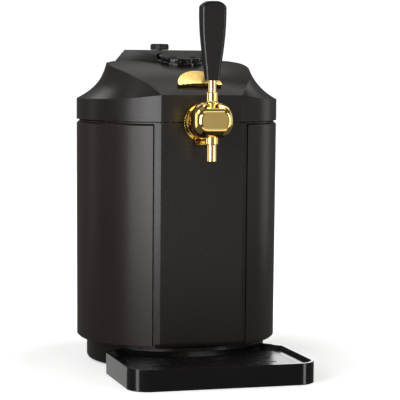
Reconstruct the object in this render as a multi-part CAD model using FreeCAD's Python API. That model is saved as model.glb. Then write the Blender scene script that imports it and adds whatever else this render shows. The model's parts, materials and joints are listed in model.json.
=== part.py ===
import FreeCAD, Part
import math
import os

V = FreeCAD.Vector

# A mini keg beer dispenser.  All lengths are millimetres.  While it is being built the barrel's
# axis is the Z axis, the worktop is z = 0 and the tap faces -Y.  The finished pieces are then
# moved together so that the origin is the middle of the footprint.

# ---------------------------------------------------------------- driving sizes of the housing
BARREL_BUILD = 41.0         # from the well's bore out to the barrel's face: foam, air and housing
COLUMN_BUILD = 29.93        # from the well's bore out to the flat column's face
HOUSING_BOTTOM = 30.4       # underside of the housing
SEAM = 312.3                # top edge of the housing, where the lid begins
HOUSING_WALL = 3.0          # wall behind the side panels
HOUSING_FLOOR = 3.0         # inturned floor of the housing
HOUSING_FOOT_ROUND = 8.0    # rounding of the lower outside edge
FLOOR_HOLE_STEP = 1.0       # how much smaller than the well the opening in the housing's floor is

PANEL_RECESS = 3.6          # depth of the recess that holds a side panel
PANEL_THICKNESS = 3.4
PANEL_DRAFT = 1.1           # how much slimmer a panel is at its foot than at its top
PANEL_FOOT_GAP = 2.7        # from the housing's underside up to the side panels
PANEL_TOP_GAP = 1.5         # from a panel's top edge down from the seam
PANEL_TOP_BEVEL = 2.4
PANEL_GROOVE = 3.0          # dark groove along a panel's upright edges
STRIP_W = 7.1               # strip of housing between the column and the groove
PANEL_REAR_ANGLE = 138.5    # where a panel ends, in degrees round from the front

# ---------------------------------------------------------------- plinth and feet
PLINTH_SET_BACK = 14.2      # plinth's side behind the barrel's
PLINTH_WALL = 3.0
PLINTH_FLOOR = 3.0
PLINTH_ROUND = 5.0
FOOT_R = 9.0
FOOT_HEIGHT = 4.0
FOOT_EDGE = 1.0
FOOT_SINK = 1.5             # how far a foot is let into the plinth's floor
FOOT_INSET = 17.8           # middle of a foot from the plinth's side
FOOT_COUNT = 4
BOSS_R = 5.0
BOSS_HEIGHT = 14.0          # screw bosses standing on the housing's floor
BOSS_GAP = 4.0              # between a boss and the well
BOSS_COUNT = 4
SCREW_R = 1.75
SCREW_HEAD_R = 3.5
SCREW_HEAD_H = 2.0
SCREW_GRIP = 11.0           # how far a plinth screw reaches into its boss

# ---------------------------------------------------------------- keg well
WELL_R = 89.0               # inside radius: a five litre keg is about 171 mm across
WELL_WALL = 1.0
WELL_LIFT = 9.6             # well's floor above the housing's underside
WELL_CORNER = 6.0
WELL_FLANGE = 5.0
COLLAR_DROP = 9.3           # deck round the well's mouth below the seam
COLLAR_THICKNESS = 4.0

# ---------------------------------------------------------------- cooler behind the well
COOLER_Z = 165.0            # height of the middle of the cooler
COLD_PLATE_HALF_W = 35.0
COLD_PLATE_HALF_H = 35.0
COLD_PLATE_DEPTH = 15.0     # from the well's bore back to the cell
CELL_HALF = 20.0            # thermoelectric cell
CELL_THICKNESS = 4.0
SINK_HALF_W = 46.0
SINK_HALF_H = 55.0
SINK_BASE = 5.0
FIN_DEPTH = 21.0
FIN_THICKNESS = 1.5
FIN_PITCH = 5.0
COOLER_GAP = 2.0            # air round the heat sink in its window
FAN_HALF = 40.0
FAN_DEPTH = 15.0
FAN_RIM = 2.5               # thinnest part of the frame round its duct
FAN_HUB_R = 15.0
FAN_TIP_GAP = 1.5           # blade tip to duct
FAN_BLADES = 7
FAN_HOLE_INSET = 4.25       # fixing hole from the frame's side
FAN_AXLE_R = 1.5
FAN_AXLE_SHORT = 4.0        # the axle and the rotor end this far from the back of the frame
FAN_RUNNING_GAP = 0.05
FAN_CORNER = 4.0
FAN_MOUNT_DEPTH = 2.5
FAN_ARM_HALF_W = 2.0
FAN_ARMS = 3
FAN_END_GAP = 0.7           # rotor to motor mount
FAN_BACK_GAP = 1.2          # rotor to the back of the frame
FAN_BLADE_HALF_T = 0.8
FAN_BLADE_LEAN = 34.0
FAN_SCREW_LENGTH = 12.0

# ---------------------------------------------------------------- rear cover
REAR_HALF_W = 78.0
FAN_AIR = 6.0               # from the fins to the fan
REAR_TOP_GAP = 2.0          # rear cover below the hinges
REAR_WALL = 3.0
REAR_CORNER = 16.0
REAR_EDGE = 2.5
GRILLE_INSET = 0.5          # grille's slots inside the fan's duct
GRILLE_PITCH = 6.6
GRILLE_SLOT = 3.4
LOUVRE_COUNT = 9
LOUVRE_PITCH = 9.0
LOUVRE_SLOT = 3.6
LOUVRE_LENGTH = 22.0
POST_R = 5.0
POST_INSET = 12.0           # post from the cover's side
POST_DROP = 20.0            # from the cover's top and bottom edges to its screw posts
SOCKET_X = 40.0
SOCKET_Z = 62.0
SOCKET_R = 6.0
SOCKET_BORE_R = 3.2
SOCKET_PIN_R = 1.0
SOCKET_FLANGE_R = 8.0
SWITCH_X = -40.0
SWITCH_HALF_W = 10.0
SWITCH_HALF_H = 7.5
SWITCH_RIM = 2.0
SWITCH_DEPTH = 18.0
ROCKER_GAP = 0.3
ROCKER_SINK = 1.0           # rocker's face behind the cover's face
ROCKER_TAIL = 2.5
ROCKER_DISH = 0.7
ROCKER_TILT = 9.0           # lean to either side of the middle
SOCKET_DEPTH = 11.0
SOCKET_PIN_SINK = 1.5
REAR_SCREW_GAP = 0.6        # wall left in front of a rear screw's tip
SUPPLY_GAP = 1.0            # between the barrel and the power board
SUPPLY_HALF_W = 24.0
SUPPLY_HEIGHT = 56.0
COIL_HALF_W = 9.0
COIL_LOW = 30.0
COIL_HIGH = 48.0
COIL_DEPTH = 12.0
CAPACITOR_R = 5.0
CAPACITOR_LENGTH = 14.0
CAPACITOR_Z = 14.0
CAPACITOR_PITCH = 13.0

# ---------------------------------------------------------------- lid
LID_GAP = 1.2               # the dark line between housing and lid
LID_WALL = 3.0
SHOULDER_HEIGHT = 27.6      # from the seam to where the lid's upright band ends at the sides
SHOULDER_RISE = 8.1         # how much higher the shoulder would be at the very front
SHOULDER_FADE = 33.0        # degrees round from the front at which that rise has halved
FLARE_STRAIGHT = 0.33       # share of the flank's flare that is a straight slope, at the sides and back
FLARE_FRONT = 0.77          # how much more of it is straight beside the column
FLARE_FADE = 55.0           # degrees round from the front at which that has halved
FLARE_FADE_POWER = 8        # how sharply it fades there
COLUMN_RISE = 34.2          # from the seam to the straight front edge of the hood
DOME_HEIGHT = 77.2          # from the seam to the flat top of the dome
RIM_HEIGHT = 73.3           # from the seam to the rim, where the flank ends and the top begins to round over
TOP_FLAT_R = 66.0           # where that rounding ends in the flat top
TOP_ROUND = 97.0            # radius of the rounding
TOP_REACH = 76.0            # how far out it is drawn, past the barrel
DOME_INSET = 38.4           # how far the dome's rim is inside the barrel
HOOD_SET_BACK = 108.0       # how far the hood's middle goes back from the column to the top
HOOD_TOP_CURVE = 115.0      # plan radius of the hood where it meets the top
HOOD_BLEND = 1.1            # how fast the hood's plan goes from straight to round
HOOD_ROUND = 0.6            # share of the set-back that is the rounding-over at the top
HOOD_TURN = 3               # how late in its height the hood rounds over
HOOD_START = 0.01           # share of its height below which its plan counts as straight
HOOD_SIDE = 12.0            # how much less than that radius the hood's drawn half width is
HOOD_PARTS = (-0.05, 0.0, 0.04, 0.14, 0.3, 0.5, 0.7, 0.82, 0.9, 0.96, 1.0)  # heights it is drawn at
FLANK_FOOT = 12.0           # how far below the shoulder the flank's surface begins
FLANK_COUNT = 9             # sections of the flank
FLANK_STEP = 12             # degrees between the points of a section
LID_POST_R = 5.0
LID_POST_INSET = 13.5       # middle of a post from the pan's deep side
LID_POST_ANGLES = (62.0, 118.0, -118.0, -62.0)

HINGE_OUT = 7.0             # hinge pin behind the barrel
HINGE_DROP = 8.3            # hinge pin below the seam
HINGE_BARREL_R = 6.0
HINGE_PIN_R = 2.5
HINGE_RUNNING_GAP = 0.05
HINGE_X = 38.0              # middle of each hinge
HINGE_ARM_HALF_W = 5.7
HINGE_EAR_W = 6.0
HINGE_EAR_BITE = 0.5        # how far an ear runs into the housing's wall
HINGE_SIDE_GAP = 0.3
HINGE_ARM_DROP = 10.0       # from the shoulder down to where an arm leaves the lid

PAN_OVERLAP = 8.5           # how far the pan's deep middle reaches past the well
PAN_LIFT = 6.5              # pan's floor above the deck
PAN_WALL = 2.0
PAN_NUT_GAP = 2.4           # from the tap's nut up to the pan's raised rim
PAN_RIM_GAP = 0.4
HEAD_SPACE_R = 42.0         # room over the keg's tapping head
HEAD_SPACE_DROP = 27.5      # its top below the dome's
GASKET_STEP = 1.5           # gasket's inside from the well's bore
GASKET_WIDTH = 4.5
GASKET_GAP = 0.3
GASKET_EDGE = 0.8
LID_FOAM_DROP = 8.0         # foam's top below the top of the head space

# ---------------------------------------------------------------- console on the lid
CONSOLE_INSET = 8.9         # console's side inside the dome's rim
CONSOLE_CORNER_ANGLE = 120.0
CONSOLE_HEIGHT = 13.5       # above the dome's top
CONSOLE_WALL = 2.5
CONSOLE_TAPER = 11.7        # how far the console's top edge is inside its foot
CONSOLE_FRONT_INSET = 3.0   # how far the console's foot stays inside the flange of the pod, free in front
POD_Y = -18.0
POD_R = 28.5
POD_TILT = 10.0             # lean of the pod towards the front, in degrees
POD_FLANGE_W = 2.5
POD_FLANGE_DROP = 5.6       # flange's top below the pod's top
POD_HEIGHT = 6.7            # its middle above the dome's top
POD_PROUD = 1.0             # above the console's slope
POD_WALL = 2.2
POD_LIP = 3.0
POD_LIP_W = 1.5
POD_EDGE = 2.4
POD_FLANGE_EDGE = 1.5
POD_RIM = 4.0               # ring of the pod round its window
WINDOW_THICKNESS = 1.6
BUTTON_X = 13.0
BUTTON_FORWARD = 12.0       # keys ahead of the pod's middle
BUTTON_R = 4.2
BUTTON_PROUD = 0.8
BUTTON_TRAVEL = 0.8
BUTTON_GAP = 0.3
BUTTON_EDGE = 0.5
BUTTON_FOOT_R = 4.9
BUTTON_FOOT_H = 1.6
SWITCH_R = 2.5              # switches on the display's board
SWITCH_GAP = 0.2
BOARD_DROP = 8.0            # display's board below the pod's top
DISPLAY_HALF_W = 14.0
DISPLAY_FRONT = 4.0
DISPLAY_BACK = 8.0
BOARD_THICKNESS = 1.6

KNOB_X = -8.5
BONNET_CLEAR = 1.64         # between the head space and the bonnet under the knob
KNOB_R = 11.5
KNOB_HEIGHT = 8.0
KNOB_GAP = 0.5
KNOB_RIBS = 24
KNOB_RIB_R = 0.75
KNOB_EDGE = 1.0
KNOB_RIM = 3.0
KNOB_DISH = 0.6
SPINDLE_R = 3.0
SPINDLE_GAP = 0.05          # in the bonnet, where it runs
SPINDLE_ROOM = 1.0          # in the console and the dome, which it only passes
COLLAR_WALL = 2.0

# ---------------------------------------------------------------- gas regulator in the lid
BONNET_R = 13.0
BONNET_RISE = 16.0          # from the cartridge's axis up to the bonnet's foot
BONNET_DROP = 10.5          # its top below the dome's
HOLDER_CLEAR = 7.5          # between the head space and the cartridge's holder
CARTRIDGE_LIFT = 20.5       # its axis above the pan's floor
CARTRIDGE_R = 10.85         # a sixteen gram cartridge
CARTRIDGE_LENGTH = 87.0
CARTRIDGE_NECK_R = 4.5
HOLDER_R = 12.5
BONNET_ROOM = 22.0          # from the knob's axis forward to the lid's foam
HOLDER_LENGTH = 95.0
PIERCER_X = 37.5            # where the holder screws into the regulator
PIERCER_LENGTH = 20.0
MANIFOLD_HALF = 7.0
BONNET_EDGE = 2.0
BARB_R = 3.5
BARB_LENGTH = 4.0
BARB_TAPER = 1.0
GAS_BORE_R = 1.0
SPINDLE_REACH = 12.0        # how far the knob's spindle reaches into the bonnet
SPINDLE_END_GAP = 0.4
NECK_REACH = 8.0            # how far the cartridge's neck reaches into the piercing head
CARTRIDGE_END_GAP = 0.5
HOLDER_CLEARANCE = 0.15
HOLDER_EDGE = 2.0
HOLDER_BASE = 4.0
CARTRIDGE_BAY_GAP = 2.5     # round the holder in the pan's window

# ---------------------------------------------------------------- grip on the hood
GRIP_R = 28.3
GRIP_STEPS = 4
GRIP_THICKNESS = 2.2
GRIP_STEP_RISE = 0.7
GRIP_STEP_SHARE = 0.2       # how much smaller each step is
GRIP_FOOT_R = 3.0
GRIP_FOOT_LENGTH = 9.6
GRIP_PART = 0.2345          # share of the hood's height at which the grip begins
GRIP_TILT = 36.6            # its slope in degrees
GRIP_LIFT = 1.3             # air under the grip's front edge

# ---------------------------------------------------------------- tap
SHANK_RISE = 0.3            # shank's axis above the seam
SHANK_R = 8.0
BEER_BORE_R = 4.0
WASHER_R = 17.0
WASHER_THICKNESS = 1.5
FLANGE_STEPS = ((24.5, 3.2), (21.0, 2.2), (16.5, 2.4))    # radius and thickness of each ring
FLANGE_TAB_HALF_W = 10.0
FLANGE_TAB_DROP = 28.6
FLANGE_TAB_DEPTH = 6.5
FLANGE_EDGE = 0.8
NUT_R = 12.0
NUT_THICKNESS = 5.0
NUT_WALL = 4.0              # column wall left under the nut
NUT_ROOM = 3.0              # round the nut in the column
NUT_NOTCH_GAP = 0.5         # deck to nut
ELBOW_DEPTH = 8.0
ELBOW_HEIGHT = 12.0

TAP_REACH = 41.57           # lever's pivot ahead of the column
TAP_R = 21.25               # round body about the lever's pivot
TAP_HALF_W = 24.75
TAP_SIDE_ROUND = 15.0
TAP_FLAT_HALF_H = 10.3      # half the height of the flat on its front
TAP_FLAT_ROUND = 6.0
TAP_NECK_R = 11.0
SPOUT_COLLAR_R = 7.95
SPOUT_COLLAR_DROP = 29.5    # collar's foot below the pivot
SPOUT_R = 5.9
SPOUT_LENGTH = 20.0
SPOUT_EDGE = 1.0
SPOUT_ROOT = 3.0            # how far the collar runs up round the body

LEVER_R = 5.1
LEVER_COLLAR_R = 7.0
LEVER_COLLAR_RISE = 34.5    # collar's top above the pivot
LEVER_SKIRT_R = 9.2
LEVER_SKIRT_GAP = 0.35
LEVER_SKIRT_DROP = 3.0
LEVER_CONE = 4.0            # height of the cone between skirt and collar
LEVER_EDGE = 1.0
LEVER_TRAVEL = 30.0
LEVER_SIDE_GAP = 0.4
CAM_R = 8.0
CAM_DROP = 3.9              # from the pivot down to the cam and the shank's axis
CAM_GAP = 0.4
PIN_R = 2.0
PIN_HALF_LENGTH = 14.0
PIN_GAP = 0.05
STUD_R = 3.0
STUD_LENGTH = 24.0

VALVE_PLAY = 0.1            # plunger to bore
VALVE_LENGTH = 16.0
VALVE_GAP = 0.3
VALVE_NOSE_R = 2.7
GROOVE_DEPTH = 1.0
VALVE_LAND = 2.0            # rim each side of the seal's groove
SEAL_WIDTH = 2.0
SEAL_EASE = 0.2
SEAL_GAP = 0.06

HANDLE_RISE = 48.5          # handle's foot above the pivot
HANDLE_SECTIONS = ((0.0, 18.3, 12.0), (30.0, 24.6, 14.6), (58.0, 30.2, 17.0), (76.0, 31.6, 18.0),
                   (96.0, 31.6, 18.0))                    # height, width and depth
HANDLE_CORNER = 4.4
HANDLE_CROWN = 14.6
HANDLE_TOP_EDGE = 4.0
HANDLE_LOFT_MARGIN = 2.0

# ---------------------------------------------------------------- beer line parked round the well
LINE_R = 3.5
LINE_WALL = 1.1
LINE_START_HALF = 6.0       # half the elbow's width where the line leaves it
LINE_END_ANGLE = 78.0
CONNECTOR_R = 6.0
CONNECTOR_LENGTH = 24.0
CONNECTOR_GRIPS = ((9.0, 14.0), (17.0, 21.0))       # from and to, along the connector
CLIP_ANGLES = (24.0, 50.0, 72.0)
CLIP_HALF_W = 3.0
CLIP_WALL = 2.2

# ---------------------------------------------------------------- drip tray
TRAY_OVERHANG = 1.0         # tray's side past the plinth's
TRAY_REACH = 102.6          # tray's front ahead of the barrel
TRAY_TOP_GAP = 3.7          # tray below the housing
TRAY_FLOOR = 3.0
TRAY_RIM = 3.0
TRAY_CORNER = 25.0
TRAY_CORNER_MIN = 3.0
TRAY_WING_SHARE = 0.4       # how far the wing's bend moves forward per unit of inset
TRAY_HUG_GAP = 1.0          # between the tray's hollow back and the plinth
TRAY_WING_W = 24.8          # width of a wing beside the hollow back
TRAY_SIDE = 132.6           # length of the straight sides
TRAY_WING_ROUND = 6.0
TRAY_FOOT_EDGE = 1.2
BASIN_SLOPE = 6.5           # how far the inner wall leans in down to the grid's ledge
GRID_MARGIN = 16.8          # from the tray's outside to the grid's edge
GRID_DROP = 5.2             # grid below the tray's rim
GRID_THICKNESS = 2.0
GRID_GAP = 0.4
GRID_HOUSING_GAP = 2.5
LEDGE_W = 4.0
GRID_SLOT = 4.0
GRID_SLOT_LENGTH = 22.0
GRID_SLOT_PITCH_X = 27.0
GRID_SLOT_PITCH_Y = 12.0

# ---------------------------------------------------------------- sizes that follow
BARREL_R = WELL_R + BARREL_BUILD
COLUMN_FACE = WELL_R + COLUMN_BUILD
COLUMN_HALF_W = math.sqrt(BARREL_R ** 2 - COLUMN_FACE ** 2)
INNER_INSET = PANEL_RECESS + HOUSING_WALL
INNER_R = BARREL_R - INNER_INSET
COLUMN_ANGLE = math.degrees(math.asin(COLUMN_HALF_W / BARREL_R))
GROOVE_START = COLUMN_ANGLE + math.degrees(STRIP_W / BARREL_R)
GROOVE_ANGLE = math.degrees(PANEL_GROOVE / BARREL_R)
FLOOR_TOP = HOUSING_BOTTOM + HOUSING_FLOOR
FLOOR_HOLE_R = WELL_R - FLOOR_HOLE_STEP
PANEL_FOOT = HOUSING_BOTTOM + PANEL_FOOT_GAP

LINER_R = WELL_R + WELL_WALL
WELL_FLOOR = HOUSING_BOTTOM + WELL_LIFT
COLLAR_Z = SEAM - COLLAR_DROP
COLLAR_FOOT = COLLAR_Z - COLLAR_THICKNESS
PLINTH_R = BARREL_R - PLINTH_SET_BACK
PLINTH_FOOT = FOOT_HEIGHT - FOOT_SINK
FOOT_CIRCLE_R = PLINTH_R - FOOT_INSET
BOSS_CIRCLE_R = LINER_R + BOSS_R + BOSS_GAP

HINGE_Y = BARREL_R + HINGE_OUT
HINGE_Z = SEAM - HINGE_DROP
COLD_PLATE_BACK = WELL_R + COLD_PLATE_DEPTH
CELL_BACK = COLD_PLATE_BACK + CELL_THICKNESS
SINK_FACE = CELL_BACK + SINK_BASE
FIN_TIP = SINK_FACE + FIN_DEPTH
FAN_FACE = FIN_TIP + FAN_AIR
FAN_BORE_R = FAN_HALF - FAN_RIM
FAN_BLADE_R = FAN_BORE_R - FAN_TIP_GAP
FAN_HOLE_HALF = FAN_HALF - FAN_HOLE_INSET
REAR_INSIDE = FAN_FACE + FAN_DEPTH
REAR_FACE = REAR_INSIDE + REAR_WALL
REAR_TOP = HINGE_Z - HINGE_BARREL_R - REAR_TOP_GAP
GRILLE_R = FAN_BORE_R - GRILLE_INSET
POST_X = REAR_HALF_W - POST_INSET

LID_BOTTOM = SEAM + LID_GAP
SHOULDER = SEAM + SHOULDER_HEIGHT
COLUMN_TOP = SEAM + COLUMN_RISE
TOP_Z = SEAM + DOME_HEIGHT
RIM_Z = SEAM + RIM_HEIGHT
TOP_R = BARREL_R - DOME_INSET
HOOD_HALF_W = HOOD_TOP_CURVE - HOOD_SIDE

SHANK_Z = SEAM + SHANK_RISE
NUT_FACE = -COLUMN_FACE + NUT_WALL
NUT_POCKET_R = NUT_R + NUT_ROOM
ELBOW_FACE = NUT_FACE + NUT_THICKNESS
LINE_BORE_R = LINE_R - LINE_WALL
LINE_CIRCLE_R = -ELBOW_FACE - ELBOW_DEPTH / 2
LINE_START_ANGLE = math.degrees(math.asin(LINE_START_HALF / LINE_CIRCLE_R))
FLANGE_BACK = -COLUMN_FACE - WASHER_THICKNESS
FLANGE_FRONT = FLANGE_BACK - sum(step[1] for step in FLANGE_STEPS)
TAP_Y = -COLUMN_FACE - TAP_REACH
TAP_Z = SHANK_Z + CAM_DROP
TAP_FLAT = math.sqrt(TAP_R ** 2 - TAP_FLAT_HALF_H ** 2)
SPOUT_COLLAR_Z = TAP_Z - SPOUT_COLLAR_DROP
SPOUT_TIP = SPOUT_COLLAR_Z - SPOUT_LENGTH
LEVER_COLLAR_TOP = TAP_Z + LEVER_COLLAR_RISE
HANDLE_FOOT = TAP_Z + HANDLE_RISE
HANDLE_TOP = HANDLE_FOOT + HANDLE_SECTIONS[-1][0]
VALVE_R = BEER_BORE_R - VALVE_PLAY
GROOVE_R = VALVE_R - GROOVE_DEPTH
VALVE_FRONT = TAP_Y + CAM_R + VALVE_GAP

PAN_R = WELL_R + PAN_OVERLAP
PAN_FLOOR = COLLAR_Z + PAN_LIFT
PAN_RIM_Z = SHANK_Z + NUT_R + PAN_NUT_GAP
LID_POST_CIRCLE_R = PAN_R - LID_POST_INSET
HEAD_SPACE_TOP = TOP_Z - HEAD_SPACE_DROP
GASKET_IN_R = WELL_R + GASKET_STEP
GASKET_OUT_R = GASKET_IN_R + GASKET_WIDTH

CONSOLE_R = TOP_R - CONSOLE_INSET
CONSOLE_TOP = TOP_Z + CONSOLE_HEIGHT
POD_TOP = TOP_Z + POD_HEIGHT
POD_SLOPE = math.tan(math.radians(POD_TILT))
CONSOLE_FLAT_Y = POD_Y + (CONSOLE_TOP + POD_PROUD - POD_TOP) / POD_SLOPE
POD_FLANGE_R = POD_R + POD_FLANGE_W
WINDOW_R = POD_R - POD_RIM
BUTTON_Y = POD_Y - BUTTON_FORWARD
KNOB_Y = math.sqrt((HEAD_SPACE_R + BONNET_CLEAR + BONNET_R) ** 2 - KNOB_X ** 2)
KNOB_FOOT = CONSOLE_TOP + KNOB_GAP
KNOB_TOP = KNOB_FOOT + KNOB_HEIGHT
CARTRIDGE_Y = HEAD_SPACE_R + HOLDER_CLEAR + HOLDER_R
CARTRIDGE_Z = PAN_FLOOR + CARTRIDGE_LIFT
HOLDER_END_X = PIERCER_X - HOLDER_LENGTH
STEM_X = PIERCER_X + PIERCER_LENGTH / 2
BONNET_FOOT = CARTRIDGE_Z + BONNET_RISE
BONNET_TOP = TOP_Z - BONNET_DROP
BONNET_FRONT = KNOB_Y - BONNET_ROOM

TRAY_HALF_W = PLINTH_R + TRAY_OVERHANG
TRAY_FRONT = -BARREL_R - TRAY_REACH
TRAY_TOP = HOUSING_BOTTOM - TRAY_TOP_GAP
TRAY_WING_X = TRAY_HALF_W - TRAY_WING_W
TRAY_WING_Y = TRAY_FRONT + TRAY_SIDE
TRAY_HUG_R = PLINTH_R + TRAY_HUG_GAP
GRID_TOP = TRAY_TOP - GRID_DROP
FRAME_SHIFT = V(0, -(TRAY_FRONT + REAR_FACE) / 2, 0)


# ---------------------------------------------------------------- small drawing helpers
def cylinder(radius, z0, z1, x=0.0, y=0.0):
    return Part.makeCylinder(radius, z1 - z0, V(x, y, z0))


def bar_x(radius, x0, x1, y, z):
    return Part.makeCylinder(radius, x1 - x0, V(x0, y, z), V(1, 0, 0))


def bar_y(radius, y0, y1, x, z):
    return Part.makeCylinder(radius, y1 - y0, V(x, y0, z), V(0, 1, 0))


def block(x0, x1, y0, y1, z0, z1):
    return Part.makeBox(x1 - x0, y1 - y0, z1 - z0, V(x0, y0, z0))


def ring(outer, inner, z0, z1, x=0.0, y=0.0):
    return cylinder(outer, z0, z1, x, y).cut(cylinder(inner, z0, z1, x, y))


def joined(shapes):
    first = shapes[0]
    if len(shapes) == 1:
        return first
    return first.multiFuse(shapes[1:]).removeSplitter()


def group(shapes):
    return Part.makeCompound(shapes)


def mirrored(shape):
    return shape.mirror(V(0, 0, 0), V(1, 0, 0))


def outline(steps, to_space):
    """A closed face from flat points; a step of three values ('arc', middle, end) is an arc."""
    edges = []
    here = steps[0]
    for step in list(steps[1:]) + [steps[0]]:
        if step[0] == "arc":
            edges.append(Part.Arc(to_space(here), to_space(step[1]), to_space(step[2])).toShape())
            here = step[2]
        elif math.dist(here, step) > 1e-6:
            edges.append(Part.makeLine(to_space(here), to_space(step)))
            here = step
    return Part.Face(Part.Wire(edges))


def eased(corner, back, on, radius):
    """Two outline steps that round a square corner; back and on point away from it along its sides."""
    mid = radius * (1 - math.sqrt(0.5))
    return [(corner[0] + back[0] * radius, corner[1] + back[1] * radius),
            ("arc", (corner[0] + (back[0] + on[0]) * mid, corner[1] + (back[1] + on[1]) * mid),
             (corner[0] + on[0] * radius, corner[1] + on[1] * radius))]


def turned(steps, x=0.0, y=0.0):
    """A solid of revolution about an upright axis from (radius, height) steps."""
    face = outline(steps, lambda p: V(x + p[0], y, p[1]))
    return face.revolve(V(x, y, 0), V(0, 0, 1), 360)


def turned_y(steps, x, z):
    """A solid of revolution about an axis along Y from (radius, y) steps."""
    face = outline(steps, lambda p: V(x, p[1], z + p[0]))
    return face.revolve(V(x, 0, z), V(0, 1, 0), 360)


def turned_x(steps, y, z):
    """A solid of revolution about an axis along X from (radius, x) steps."""
    face = outline(steps, lambda p: V(p[1], y, z + p[0]))
    return face.revolve(V(0, y, z), V(1, 0, 0), 360)


def flat_plate(steps, z0, z1):
    """An upright prism from a flat plan outline."""
    return outline(steps, lambda p: V(p[0], p[1], z0)).extrude(V(0, 0, z1 - z0))


def side_plate(steps, x0, x1):
    """A prism along X from an outline of (y, z) steps."""
    return outline(steps, lambda p: V(x0, p[0], p[1])).extrude(V(x1 - x0, 0, 0))


def rounded(shape, radius, wanted):
    """Rounds the edges whose middle point passes the test."""
    edges = [edge for edge in shape.Edges if wanted(edge)]
    return shape.makeFillet(radius, edges)


def is_upright(edge):
    if edge.Curve.TypeId != "Part::GeomLine":
        return False
    return abs(edge.tangentAt(edge.FirstParameter).z) > 0.99


def at_height(edge, z):
    box = edge.BoundBox
    return abs(box.ZMin - z) < 0.01 and abs(box.ZMax - z) < 0.01


def on_circle(radius, angle, z=0.0):
    """A point at an angle, in degrees round from the front towards +X."""
    turn = math.radians(angle)
    return V(radius * math.sin(turn), -radius * math.cos(turn), z)


def sector(outer, inner, z0, z1, start, end):
    """Part of a ring between two angles measured round from the front towards +X."""
    face = outline([(inner, z0), (outer, z0), (outer, z1), (inner, z1)], lambda p: V(0, -p[0], p[1]))
    face.rotate(V(0, 0, 0), V(0, 0, 1), start)
    return face.revolve(V(0, 0, 0), V(0, 0, 1), end - start)


def rounded_slot(length, width, depth, centre, along, through):
    """A slot cutter with round ends; along and through are unit directions."""
    half = (length - width) / 2
    across = through.cross(along)
    corners = [centre - along * half - across * (width / 2), centre + along * half - across * (width / 2),
               centre + along * half + across * (width / 2), centre - along * half + across * (width / 2)]
    far = Part.Arc(corners[1], centre + along * (half + width / 2), corners[2]).toShape()
    near = Part.Arc(corners[3], centre - along * (half + width / 2), corners[0]).toShape()
    wire = Part.Wire([Part.makeLine(corners[0], corners[1]), far,
                      Part.makeLine(corners[2], corners[3]), near])
    cutter = Part.Face(wire).extrude(through * depth)
    cutter.translate(through * (-depth / 2))
    return cutter


def save(name, shape):
    moved = shape.copy()
    moved.translate(FRAME_SHIFT)
    moved.exportStep("parts/" + name + ".step")


# ---------------------------------------------------------------- barrel form and housing
def barrel(inset, z0, z1):
    """The barrel's plan, a circle with the flat column across its front, moved in by an inset."""
    front = block(-BARREL_R, BARREL_R, -2 * BARREL_R, -COLUMN_FACE + inset, z0, z1)
    return cylinder(BARREL_R - inset, z0, z1).cut(front)


def housing_form():
    form = barrel(0, HOUSING_BOTTOM, SEAM)
    return rounded(form, HOUSING_FOOT_ROUND, lambda edge: at_height(edge, HOUSING_BOTTOM))


def panel_space(grow):
    """The ring sector of a side panel; grow widens it by the groove on each upright edge."""
    start = GROOVE_START + GROOVE_ANGLE - grow
    end = PANEL_REAR_ANGLE + grow
    return sector(BARREL_R + 1, BARREL_R - PANEL_RECESS, PANEL_FOOT - grow, SEAM + 1, start, end)


def spots(radius, count, first):
    """Points spaced evenly round a circle, the first at an angle from the front."""
    return [on_circle(radius, first + 360.0 * i / count) for i in range(count)]


def boss_spots():
    return spots(BOSS_CIRCLE_R, BOSS_COUNT, 180.0 / BOSS_COUNT)


def cooler_window(y0):
    """The opening in the back of the housing and its foam that the cooler passes through."""
    half_w = SINK_HALF_W + COOLER_GAP
    half_h = SINK_HALF_H + COOLER_GAP
    return block(-half_w, half_w, y0, BARREL_R, COOLER_Z - half_h, COOLER_Z + half_h)


def hinge_profile(reach_y, reach_z0, reach_z1):
    """Side outline of a hinge ear or arm: a round eye on the pin with a root that reaches in."""
    return [(reach_y, reach_z0), (HINGE_Y, HINGE_Z - HINGE_BARREL_R),
            ("arc", (HINGE_Y + HINGE_BARREL_R, HINGE_Z), (HINGE_Y, HINGE_Z + HINGE_BARREL_R)),
            (reach_y, reach_z1)]


def hinge_ears():
    """Pairs of ears on the housing, one each side of every lid arm."""
    inner = HINGE_ARM_HALF_W + HINGE_SIDE_GAP
    starts = (HINGE_X - inner - HINGE_EAR_W, HINGE_X + inner)
    profile = hinge_profile(INNER_R - HINGE_BARREL_R, HINGE_Z - HINGE_BARREL_R, HINGE_Z + HINGE_BARREL_R)
    ears = [side_plate(profile, start, start + HINGE_EAR_W) for start in starts]
    ears += [mirrored(ear) for ear in ears]
    inside = barrel(INNER_INSET - HINGE_EAR_BITE, FLOOR_TOP, SEAM)
    return [ear.cut(inside) for ear in ears]


def housing_shell():
    shell = housing_form().cut(barrel(INNER_INSET, FLOOR_TOP, SEAM))
    shell = shell.cut(cylinder(FLOOR_HOLE_R, HOUSING_BOTTOM, FLOOR_TOP))
    recess = panel_space(GROOVE_ANGLE)
    seat = bar_y(SHANK_R, -BARREL_R, -LINER_R, 0, SHANK_Z)
    nut_pocket = bar_y(NUT_POCKET_R, NUT_FACE, -LINER_R, 0, SHANK_Z)
    shell = shell.cut(recess).cut(mirrored(recess)).cut(cooler_window(LINER_R)).cut(seat).cut(nut_pocket)
    bosses = [cylinder(BOSS_R, FLOOR_TOP, FLOOR_TOP + BOSS_HEIGHT, p.x, p.y)
              for p in boss_spots()]
    shell = joined([shell] + bosses + hinge_ears())
    for p in boss_spots():
        shell = shell.cut(cylinder(SCREW_R, HOUSING_BOTTOM, HOUSING_BOTTOM + SCREW_GRIP, p.x, p.y))
    for hole in rear_screw_holes():
        shell = shell.cut(hole)
    return shell.cut(bar_x(HINGE_PIN_R, -BARREL_R, BARREL_R, HINGE_Y, HINGE_Z))


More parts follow.
